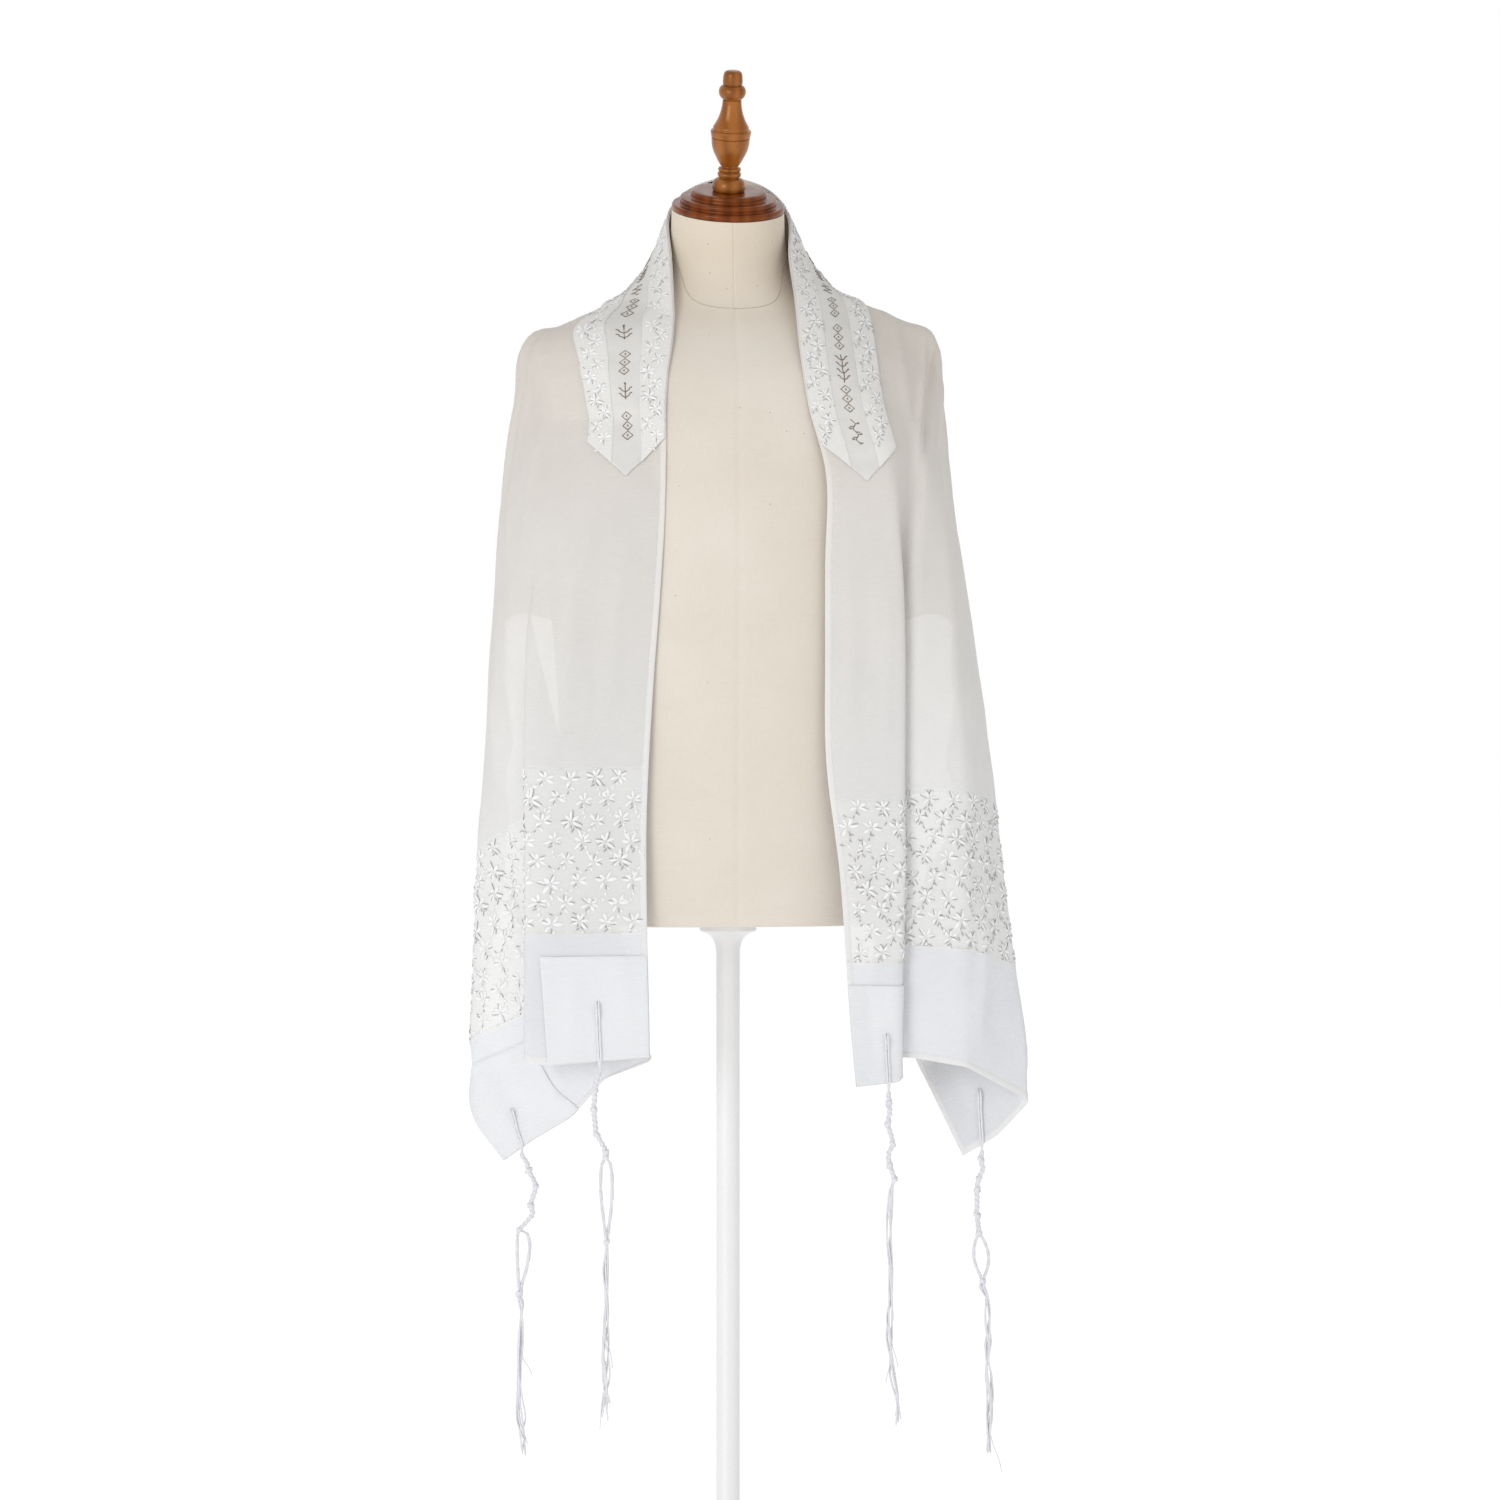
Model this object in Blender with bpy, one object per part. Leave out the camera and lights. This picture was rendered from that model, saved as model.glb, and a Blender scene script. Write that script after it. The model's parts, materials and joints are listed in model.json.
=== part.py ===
import math

import bpy
import numpy as np

# Millimetres inside the script, metres in the objects. +Z up, the front faces -Y,
# the origin lies on the floor under the middle of the round base.
MM = 0.001

for old in list(bpy.data.objects):
    bpy.data.objects.remove(old, do_unlink=True)

cloth = {
    "width": 456.0,        # inner edge to outer edge
    "left_half": 1015.0,   # nape to hem, viewer's left
    "right_half": 1048.0,  # nape to hem, viewer's right
    "wall": 1.2,
    "seam_gap": 0.3,
    "band_low": 126.0,     # lace band, measured up from the hem
    "band_high": 298.0,
    "patch": 104.0,
}

stand = {"pole_radius": 12.5, "base_radius": 160.0, "base_height": 12.0, "yaw": 6.0}

# Dress form, one row per ring: height, half width, half depth, centre y, forward tilt in degrees
FORM = [
    (778, 186, 108, -4, 0), (800, 187, 109, -4, 0), (870, 183, 110, -5, 0), (960, 178, 111, -6, 0),
    (1060, 183, 114, -5, 0), (1160, 193, 117, -3, 0), (1250, 201, 119, -1, 0), (1310, 206, 117, 1, 0),
    (1350, 208, 110, 3, 0), (1372, 207, 101, 5, 0), (1388, 200, 93, 7, 0), (1400, 184, 87, 9, 0),
    (1412, 159, 81, 10, 2), (1424, 134, 76, 11, 5), (1436, 111, 72, 11, 8), (1447, 92, 69, 10, 11),
    (1458, 79, 66, 8, 14), (1470, 69, 63, 5, 17), (1486, 63, 61, 2, 20), (1506, 60.5, 60, -2, 22),
    (1531, 59.5, 59.5, -8, 22),
]

# Sections across the cloth, viewer's left. Columns: distance from the nape, then x y z of
# inner edge, patch line, front fold, pleat fold, under layer, outer layer, side fold, outer edge
LEFT = [
    (0, (0, 66, 1581), (0, 66, 1505), (0, 80, 1440), (0, 101, 1385), (0, 117, 1320), (0, 124, 1255), (0, 128, 1190), (0, 131, 1120)),
    (55, (-42, 51, 1563), (-52, 54, 1494), (-58, 76, 1436), (-62, 99, 1380), (-64, 114, 1315), (-64, 122, 1250), (-63, 127, 1185), (-62, 130, 1115)),
    (110, (-62, 6, 1527), (-84, 22, 1474), (-104, 47, 1442), (-114, 78, 1394), (-119, 97, 1330), (-124, 107, 1265), (-123, 114, 1190), (-121, 118, 1108)),
    (165, (-59, -36, 1478), (-91, -21, 1455), (-119, 8, 1436), (-151, 44, 1404), (-174, 69, 1345), (-178, 84, 1275), (-179, 94, 1195), (-176, 101, 1100)),
    (225, (-56, -68, 1430), (-92, -53, 1425), (-131, -28, 1426), (-166, -4, 1412), (-222, 14, 1397), (-225, 28, 1320), (-231, 46, 1220), (-222, 80, 1108)),
    (277, (-54, -92, 1385), (-100, -86, 1381), (-145, -66, 1377), (-181, -44, 1370), (-220, -16, 1352), (-229, 10, 1285), (-239, 42, 1198), (-243, 98, 1100)),
    (346, (-58, -110, 1319), (-108, -112, 1317), (-150, -98, 1313), (-188, -74, 1305), (-220, -42, 1288), (-234, -8, 1245), (-243, 36, 1168), (-250, 104, 1062)),
    (408, (-61, -120, 1257), (-115, -126, 1256), (-152, -118, 1253), (-190, -98, 1247), (-222, -68, 1233), (-238, -30, 1205), (-245, 22, 1140), (-246, 104, 1018)),
    (500, (-66, -128, 1166), (-148, -133, 1165), (-190, -122, 1161), (-201, -114, 1158), (-225, -84, 1148), (-241, -46, 1128), (-250, 8, 1072), (-240, 98, 952)),
    (560, (-70, -131, 1106), (-172, -135, 1105), (-203, -129, 1103), (-198, -119, 1101), (-225, -92, 1090), (-243, -55, 1072), (-254, -4, 1018), (-240, 90, 905)),
    (640, (-76, -133, 1026), (-178, -137, 1025), (-207, -132, 1024), (-180, -118, 1012), (-222, -94, 994), (-245, -62, 970), (-259, -18, 925), (-242, 80, 840)),
    (721, (-81, -134, 940), (-182, -138, 939), (-208, -133, 938), (-154, -117, 914), (-212, -90, 884), (-240, -68, 868), (-263, -42, 852), (-248, 62, 780)),
    (775, (-83, -134, 885), (-184, -138, 884), (-208, -133, 883), (-133, -116, 859), (-195, -95, 829), (-238, -70, 805), (-265, -44, 790), (-256, 28, 735)),
    (830, (-83, -134, 830), (-184, -138, 829), (-208, -133, 828), (-118, -115, 803), (-184, -97, 768), (-236, -72, 740), (-268, -46, 722), (-262, 12, 672)),
    (895, (-82, -134, 766), (-184, -138, 765), (-208, -133, 764), (-100, -115, 742), (-170, -99, 700), (-226, -74, 670), (-269, -48, 650), (-269, -18, 622)),
    (960, (-80, -134, 701), (-182, -138, 700), (-208, -133, 699), (-84, -114, 668), (-150, -101, 628), (-208, -80, 598), (-250, -58, 580), (-266, -47, 576)),
    (1015, (-79, -134, 647), (-182, -138, 639), (-208, -133, 644), (-77, -113, 645), (-126, -104, 622), (-160, -95, 582), (-202, -80, 556), (-233, -65, 533)),
]

# The same for the viewer's right. Columns: distance from the nape, then x y z of
# inner edge, front lip, valley floor, far lip, outer layer, side fold, back layer, outer edge
RIGHT = [
    (0, (0, 66, 1581), (0, 66, 1505), (0, 80, 1440), (0, 101, 1385), (0, 117, 1320), (0, 124, 1255), (0, 128, 1190), (0, 131, 1120)),
    (55, (42, 51, 1563), (52, 54, 1494), (58, 76, 1436), (62, 99, 1380), (64, 114, 1315), (64, 122, 1250), (63, 127, 1185), (62, 130, 1115)),
    (110, (63, 6, 1526), (88, 22, 1474), (110, 47, 1443), (118, 78, 1396), (121, 97, 1332), (126, 107, 1266), (125, 114, 1190), (123, 118, 1108)),
    (165, (64, -36, 1477), (98, -19, 1456), (122, 10, 1438), (154, 45, 1407), (176, 69, 1349), (181, 84, 1276), (182, 94, 1195), (179, 101, 1100)),
    (225, (70, -68, 1427), (104, -50, 1427), (136, -26, 1431), (177, -2, 1419), (224, 14, 1401), (225, 32, 1322), (231, 48, 1222), (222, 80, 1108)),
    (283, (77, -92, 1373), (118, -84, 1372), (157, -62, 1371), (190, -38, 1368), (223, -12, 1356), (230, 12, 1285), (238, 44, 1194), (242, 98, 1096)),
    (346, (88, -106, 1313), (134, -104, 1311), (182, -70, 1305), (200, -71, 1298), (221, -40, 1282), (232, -5, 1245), (243, 40, 1162), (249, 105, 1052)),
    (412, (106, -116, 1249), (163, -115, 1248), (192, -82, 1246), (207, -87, 1244), (223, -66, 1236), (237, -30, 1215), (247, 28, 1135), (246, 105, 1003)),
    (510, (107, -118, 1151), (181, -117, 1151), (187, -76, 1150), (197, -97, 1150), (233, -76, 1142), (252, -38, 1125), (258, 24, 1050), (242, 98, 925)),
    (600, (107, -118, 1061), (184, -117, 1061), (181, -66, 1061), (195, -100, 1062), (238, -84, 1056), (264, -42, 1042), (264, 22, 970), (238, 80, 868)),
    (711, (107, -118, 950), (184, -117, 950), (178, -58, 953), (193, -102, 958), (244, -92, 956), (278, -48, 944), (264, 14, 895), (214, 56, 828)),
    (830, (118, -119, 832), (184, -117, 832), (177, -52, 838), (192, -103, 846), (247, -97, 843), (291, -52, 826), (252, 0, 782), (190, 28, 728)),
    (915, (122, -119, 748), (182, -117, 748), (175, -48, 756), (190, -103, 764), (248, -99, 760), (302, -56, 741), (254, -14, 700), (192, 6, 652)),
    (980, (126, -119, 683), (180, -116, 684), (173, -42, 694), (188, -101, 702), (246, -100, 697), (310, -60, 672), (264, -34, 625), (217, -14, 596)),
    (1048, (132, -119, 615), (180, -113, 622), (173, -38, 636), (187, -97, 643), (246, -99, 634), (315, -60, 595), (282, -42, 558), (246, -30, 536)),
]


def tangents(stations, values):
    slope = np.diff(values, axis=0) / np.diff(stations).reshape([-1] + [1] * (values.ndim - 1))
    out = np.empty_like(values)
    out[0], out[-1] = slope[0], slope[-1]
    step = np.diff(stations)
    for i in range(1, len(stations) - 1):
        a, b = step[i - 1], step[i]
        out[i] = (slope[i - 1] * b + slope[i] * a) / (a + b)
    return out


def between(stations, values, slopes, at):
    i = int(np.clip(np.searchsorted(stations, at) - 1, 0, len(stations) - 2))
    h = stations[i + 1] - stations[i]
    t = (at - stations[i]) / h
    return ((2 * t**3 - 3 * t**2 + 1) * values[i] + (t**3 - 2 * t**2 + t) * h * slopes[i]
            + (-2 * t**3 + 3 * t**2) * values[i + 1] + (t**3 - t**2) * h * slopes[i + 1])


def smooth(a, b, x):
    t = np.clip((x - a) / (b - a), 0.0, 1.0)
    return t * t * (3 - 2 * t)


form_rows = np.array(FORM, float)
yaw = math.radians(stand["yaw"])


def form_power(z):
    return np.where(z < 1400, 2.35, np.maximum(2.0, 2.35 - (z - 1400) / 70 * 0.35))


def ring(row, count, grow=0.0):
    z, a, b, cy, tilt = row
    a, b = a + grow, b + grow
    p = float(form_power(z))
    t = math.radians(tilt)
    out = []
    for i in range(count):
        w = 2 * math.pi * i / count
        c, s = math.cos(w), math.sin(w)
        x = a * math.copysign(abs(c) ** (2 / p), c)
        y = b * math.copysign(abs(s) ** (2 / p), s)
        yy, zz = y * math.cos(t), y * math.sin(t)
        out.append((x * math.cos(yaw) - yy * math.sin(yaw), cy + x * math.sin(yaw) + yy * math.cos(yaw), z + zz))
    return out


def clear_of_form(points, gap):
    """Points nearer to the form than the gap move straight out from its axis."""
    flat = points.reshape(-1, 3).copy()
    z = flat[:, 2].copy()
    zr = z.copy()
    for _ in range(8):
        cy = np.interp(zr, form_rows[:, 0], form_rows[:, 3])
        tilt = np.radians(np.interp(zr, form_rows[:, 0], form_rows[:, 4]))
        x = flat[:, 0] * math.cos(yaw) + (flat[:, 1] - cy) * math.sin(yaw)
        y = (-flat[:, 0] * math.sin(yaw) + (flat[:, 1] - cy) * math.cos(yaw)) / np.cos(tilt)
        zr = z - y * np.sin(tilt)
    a = np.interp(zr, form_rows[:, 0], form_rows[:, 1])
    b = np.interp(zr, form_rows[:, 0], form_rows[:, 2])
    p = form_power(zr)
    reach = (np.abs(x / a) ** p + np.abs(y / b) ** p) ** (1 / p)
    radius = np.hypot(x, y)
    slant = 1 + 2.1 * np.exp(-((zr - 1418) / 40.0) ** 2)
    need = 1 + gap * slant / np.maximum(radius / np.maximum(reach, 1e-6), 30.0)
    k = np.where((reach < need) & (zr > 762), need / np.maximum(reach, 1e-6), 1.0)
    x, y = x * k, y * k
    yy, zz = y * np.cos(tilt), y * np.sin(tilt)
    flat[:, 0] = x * math.cos(yaw) - yy * math.sin(yaw)
    flat[:, 1] = cy + x * math.sin(yaw) + yy * math.cos(yaw)
    flat[:, 2] = zr + zz
    return flat.reshape(points.shape)


def side_tables(rows):
    stations = np.array([r[0] for r in rows], float)
    keys = np.array([r[1:] for r in rows], float)
    reach = np.concatenate([np.zeros((len(rows), 1)),
                            np.cumsum(np.linalg.norm(np.diff(keys, axis=1), axis=2), axis=1)], axis=1)
    reach = reach / reach[:, -1:] * cloth["width"]
    return stations, keys, tangents(stations, keys), reach, tangents(stations, reach)


tables = {-1: side_tables(LEFT), 1: side_tables(RIGHT)}


def section(side, u):
    stations, keys, ks, reach, rs = tables[side]
    return between(stations, keys, ks, u), between(stations, reach, rs, u)


FOLD_KEYS = {-1: (2, 3), 1: (2,)}


def open_folds(side, keys, reach):
    """A key where the sheet turns back on itself becomes two, so the fold stays a round U."""
    out_k, out_r, extra = [keys[0]], [0.0], 0.0
    for j in range(1, 8):
        if j in FOLD_KEYS[side]:
            a = (keys[j] - keys[j - 1]) / max(np.linalg.norm(keys[j] - keys[j - 1]), 1e-6)
            b = (keys[j + 1] - keys[j]) / max(np.linalg.norm(keys[j + 1] - keys[j]), 1e-6)
            turn = math.degrees(math.acos(float(np.clip(np.dot(a, b), -1, 1))))
            w = 4.5 * float(smooth(70, 140, turn))
            e = a + b
            e = e / max(np.linalg.norm(e), 1e-6)
            out_k += [keys[j] - e * w, keys[j] + e * w]
            out_r += [reach[j] - w, reach[j] + w]
        else:
            out_k.append(keys[j])
            out_r.append(reach[j])
    out_r = np.maximum.accumulate(np.array(out_r) + np.arange(len(out_r)) * 1e-4)
    return np.array(out_k), out_r


def along(side, u, v):
    """Points of the sheet at distance u from the nape and v (array) from the inner edge."""
    keys, reach = open_folds(side, *section(side, u))
    soft = 17.0 + (4.6 - 17.0) * smooth(430, 560, u)
    taps = np.array([-2.0, -1.3, -0.65, 0.0, 0.65, 1.3, 2.0])
    weight = np.exp(-0.5 * taps**2)
    weight = weight / weight.sum()
    first = (keys[1] - keys[0]) / (reach[1] - reach[0])
    last = (keys[-1] - keys[-2]) / (reach[-1] - reach[-2])
    out = np.zeros((len(v), 3))
    for tap, w in zip(taps, weight):
        at = v + tap * soft
        p = np.stack([np.interp(at, reach, keys[:, c]) for c in range(3)], axis=1)
        p += np.minimum(at - reach[0], 0)[:, None] * first + np.maximum(at - reach[-1], 0)[:, None] * last
        out += w * p
    return out


# Loose falls behind the side fold: from, to (distance from the nape), wave length, swing at the edge
FALLS = {-1: (270, 590, 118.0, 6.0), 1: (270, 590, 118.0, 6.0)}


def falls(side, u, v):
    """Swing of the loose outer edge off the smooth sheet, as x y z steps."""
    start, end, wave, swing = FALLS[side]
    grow = smooth(285, 456, v) * smooth(start - 40, start + 60, u) * (1 - smooth(end - 110, end + 40, u))
    back = smooth(220, 456, v) * (1 - smooth(110, 200, u))
    out = np.zeros((len(v), 3))
    out[:, 0] = side * grow * swing * math.sin(2 * math.pi * (u - start) / wave)
    out[:, 1] = 0.3 * side * out[:, 0] + back * 4.5 * (1 - math.cos(2 * math.pi * u / 75.0))
    return out


def fold_columns(side, u):
    _, r = section(side, u)
    if side < 0:
        s = np.clip((r[3] - r[2]) / 26.0, 0.25, 1.0)
        d = np.array([-9, -4, 0, 4, 9]) * s
        s2 = np.clip((r[2] - r[1]) / 14.0, 0.3, 1.0)
        d2 = np.array([-9 * s2, -4 * s2, 0, 4 * s, 9 * s])
        cols = [0, r[1] * 0.25, r[1] * 0.5, r[1] * 0.75, r[1], *(r[2] + d2), 0.5 * (r[2] + r[3]), *(r[3] + d),
                r[3] + (r[4] - r[3]) * 0.45, r[4], 0.5 * (r[4] + r[5]), r[5], 0.5 * (r[5] + r[6]),
                r[6] - 8 * np.clip((r[6] - r[5]) / 30, 0.3, 1), r[6], r[6] + 8 * np.clip((r[7] - r[6]) / 40, 0.3, 1),
                r[6] + (r[7] - r[6]) * 0.4, r[6] + (r[7] - r[6]) * 0.7, r[7]]
    else:
        s = np.clip((r[3] - r[2]) / 26.0, 0.3, 1.0)
        cols = [0, r[1] / 3, r[1] * 2 / 3, r[1] - 8, r[1] - 3, r[1] + 3, r[1] + 9 * s,
                r[1] + (r[2] - r[1]) * 0.5, r[2] - 9 * s, r[2] - 4 * s, r[2], r[2] + 4 * s,
                r[2] + 9 * s, r[3] - 8 * s, r[3] - 3 * s, r[3] + 3, r[3] + 8, r[4], 0.5 * (r[4] + r[5]),
                r[5] - 9, r[5] - 3, r[5] + 3, r[5] + 9, 0.5 * (r[5] + r[6]), r[6],
                r[6] + (r[7] - r[6]) * 0.5, r[7]]
    return np.array(cols, float)


plain_columns = np.concatenate([[0, 13.5, 27, 42, 57, 70.5, 84], np.linspace(84, 456, 21)[1:]])


def columns(side, u):
    """The first seven columns stay on the neckband's lines as far as its point, the rest drift to the folds."""
    late = fold_columns(side, max(u, 560.0))
    w = np.full(len(late), float(smooth(0, 430, u)))
    w[:7] = float(smooth(440, 560, u))
    return plain_columns * (1 - w) + late * w


def sheet_grid(stations, pick=columns, gap=5.5):
    """Points and outward normals; rows at signed distances from the nape, below zero on the viewer's left."""
    sides = [-1 if u < 0 else 1 for u in stations]
    cols = [pick(s, abs(u)) for s, u in zip(sides, stations)]
    rows = {}
    for d in (-3.0, 0.0, 3.0):
        part = []
        for s, u, v in zip(sides, stations, cols):
            at = u + d
            side = -1 if at < 0 else 1
            part.append(along(side, abs(at), v) + falls(side, abs(at), v))
        rows[d] = np.array(part)
    rows = {d: clear_of_form(r, gap) for d, r in rows.items()}
    n = np.cross(rows[3.0] - rows[-3.0], np.gradient(rows[0.0], axis=1))
    n /= np.maximum(np.linalg.norm(n, axis=2, keepdims=True), 1e-9)
    return rows[0.0], n


def add_object(name, verts, faces):
    mesh = bpy.data.meshes.new(name)
    mesh.from_pydata([tuple(float(c) * MM for c in v) for v in verts], [], faces)
    mesh.update()
    v = np.array(verts, float)
    volume = 0.0
    for f in faces:
        for k in range(1, len(f) - 1):
            volume += np.dot(v[f[0]], np.cross(v[f[k]], v[f[k + 1]]))
    if volume < 0:
        mesh.flip_normals()
    obj = bpy.data.objects.new(name, mesh)
    bpy.context.scene.collection.objects.link(obj)
    return obj


def shell(name, outer, inner, keep=None):
    """A closed thin wall between two grids of points; keep marks the grid cells that are built."""
    nu, nv = outer.shape[:2]
    if keep is None:
        keep = np.ones((nu - 1, nv - 1), bool)
    verts = np.concatenate([outer.reshape(-1, 3), inner.reshape(-1, 3)])
    half = nu * nv
    faces, rim = [], {}
    for i in range(nu - 1):
        for j in range(nv - 1):
            if not keep[i, j]:
                continue
            a, b, c, d = i * nv + j, i * nv + j + 1, (i + 1) * nv + j + 1, (i + 1) * nv + j
            faces += [(a, b, c), (a, c, d)]
            faces += [(c + half, b + half, a + half), (d + half, c + half, a + half)]
            for e in ((a, b), (b, c), (c, d), (d, a)):
                if (e[1], e[0]) in rim:
                    del rim[(e[1], e[0])]
                else:
                    rim[e] = True
    for a, b in rim:
        if a < b:
            faces += [(b, a, b + half), (a, a + half, b + half)]
        else:
            faces += [(b, a, a + half), (b, a + half, b + half)]
    used = sorted({k for f in faces for k in f})
    index = {k: n for n, k in enumerate(used)}
    return add_object(name, verts[used], [tuple(index[k] for k in f) for f in faces])


def lathe(name, profile, count, place):
    """profile: (radius, height) from the bottom up; place turns local x y z into the frame."""
    verts, faces = [], []
    for r, h in profile:
        for i in range(count):
            w = 2 * math.pi * i / count
            verts.append(place((r * math.cos(w), r * math.sin(w), h)))
    for k in range(len(profile) - 1):
        for i in range(count):
            j = (i + 1) % count
            faces.append((k * count + i, k * count + j, (k + 1) * count + j, (k + 1) * count + i))
    faces.append(tuple(range(count))[::-1])
    top = (len(profile) - 1) * count
    faces.append(tuple(range(top, top + count)))
    return add_object(name, verts, faces)


# ---------------------------------------------------------------- form, cap, finial, stand
rings = [ring(r, 28) for r in FORM]
verts = [p for r in rings for p in r]
faces = []
for k in range(len(rings) - 1):
    for i in range(28):
        j = (i + 1) % 28
        faces.append((k * 28 + i, k * 28 + j, (k + 1) * 28 + j, (k + 1) * 28 + i))
faces.append(tuple(range(28))[::-1])
faces.append(tuple(range(len(verts) - 28, len(verts))))
add_object("form_torso", verts, faces)

neck_row = FORM[-1]
lean = math.radians(neck_row[4])


def on_neck(p, lift=0.0):
    x, y, h = p[0], p[1], p[2] + lift
    yy = y * math.cos(lean) - h * math.sin(lean)
    zz = y * math.sin(lean) + h * math.cos(lean)
    return (x * math.cos(yaw) - yy * math.sin(yaw), neck_row[3] + x * math.sin(yaw) + yy * math.cos(yaw),
            neck_row[0] + zz)


CAP = [(58.6, 0), (59.5, 1.2), (59.5, 5.0), (57.9, 6.3), (51.6, 6.5), (51.0, 7.6), (51.0, 12.2), (49.6, 13.6),
       (40.8, 13.8), (40.0, 15.0), (40.0, 18.6), (38.2, 20.5)]
lathe("neck_cap", CAP, 28, lambda p: on_neck(p, 0.3))

FINIAL = [(17.0, 0), (17.5, 3.2), (16.9, 8), (13.6, 16.4), (10.6, 17.8), (12.2, 20.2), (12.2, 22.4), (10.4, 23.6),
          (12.2, 24.8), (12.2, 27.0), (10.2, 28.2), (11.6, 29.6), (8.9, 32.2), (10.1, 36.5), (15.2, 44.6),
          (18.5, 52.7), (19.9, 62.9), (20.3, 68.0), (20.0, 70.4), (21.1, 71.4), (20.7, 74.4), (16.2, 79),
          (12.2, 85), (10.1, 94), (10.1, 105), (14.0, 111), (14.0, 115), (9.3, 119), (9.7, 121), (10.2, 128),
          (8.7, 133.6), (4.6, 135.8)]
FINIAL = [(r, 1.033 * h) for r, h in FINIAL]
lathe("finial", FINIAL, 18, lambda p: on_neck(p, 21.1))

base_h = stand["base_height"]
lathe("stand_base", [(stand["base_radius"] - 1.5, 0), (stand["base_radius"], 1.5), (stand["base_radius"], base_h - 3),
                     (stand["base_radius"] - 3, base_h)], 40, lambda p: p)
lathe("stand_pole", [(20, base_h + 0.3), (20, base_h + 9), (stand["pole_radius"], base_h + 12),
                     (stand["pole_radius"], 760), (30, 768), (30, 777.7)], 24, lambda p: p)

# ---------------------------------------------------------------- cloth
left_end, right_end = cloth["left_half"], cloth["right_half"]
low, high = cloth["band_low"], cloth["band_high"]
half_gap = cloth["seam_gap"] / 2


def span(a, b, step):
    return np.linspace(a, b, max(2, int(round(abs(b - a) / step)) + 1))


POINT = 385.0     # where the neckband's point begins
TIP = 424.0
collar_rows = span(-POINT, POINT, 27.5)
body_rows = np.concatenate([span(-(left_end - high) + half_gap, -TIP - 20, 27), span(-TIP, -POINT, 13)[:-1], collar_rows,
                            span(POINT, TIP, 13)[1:], span(TIP + 20, right_end - high - half_gap, 27)])
wall = cloth["wall"] / 2


def wall_of(name, rows):
    grid, n = sheet_grid(rows)
    shell(name, grid + n * wall, grid - n * wall)
    return grid, n


body_grid, body_n = wall_of("body_cloth", body_rows)
for name, sign, end in (("left", -1, left_end), ("right", 1, right_end)):
    wall_of("lace_band_" + name, np.sort(sign * span(end - high + half_gap, end - low - half_gap, 29)))
    rows = np.sort(sign * np.concatenate([[end - low + half_gap], span(end - cloth["patch"], end, 20.8)]))
    grid, n = wall_of("end_panel_" + name, rows)
    r = np.arange(len(rows))
    near = r[np.abs(rows) >= end - cloth["patch"] - 0.01]
    columns_in = (0, 4) if sign < 0 else (0, 7)
    columns_out = (20, 27) if sign < 0 else (21, 26)
    for tag, (a, b) in (("inner", columns_in), ("outer", columns_out)):
        g = grid[near[0]:near[-1] + 1, a:b + 1]
        m = n[near[0]:near[-1] + 1, a:b + 1]
        shell("corner_patch_%s_%s" % (name, tag), g + m * (wall + 0.35 + 0.9), g + m * (wall + 0.35))

# ---------------------------------------------------------------- neckband: base with pointed ends, two trims
COLLAR = {"depth": 84.0, "trim": 26.0, "base_thick": 0.9, "trim_thick": 0.9, "lift": 0.7}
point_rows = np.concatenate([-span(TIP, POINT, 13)[:-1], collar_rows, span(POINT, TIP, 13)[1:]])


def collar_columns(side, u):
    cols = np.array([0, 13.5, 27, 42, 57, 70.5, 84.0])
    k = np.clip((u - POINT) / (TIP - POINT), 0, 0.97)
    return 42 + (cols - 42) * (1 - k)


grid, n = sheet_grid(point_rows, collar_columns)
lift = wall + COLLAR["lift"]
shell("collar_base", grid + n * (lift + COLLAR["base_thick"]), grid + n * lift)
lift += COLLAR["base_thick"] + 0.4
rows = slice(3, len(point_rows) - 3)
for tag, (a, b) in (("inner", (0, 2)), ("outer", (4, 6))):
    g, m = grid[rows, a:b + 1], n[rows, a:b + 1]
    shell("collar_trim_" + tag, g + m * (lift + COLLAR["trim_thick"]), g + m * lift)

# plain blank label inside the nape
grid, n = sheet_grid(np.array([-27.5, 0.0]), lambda side, u: np.array([1.5, 13.0]))
shell("nape_label", grid - n * (wall + 0.4), grid - n * (wall + 1.1))

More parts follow.
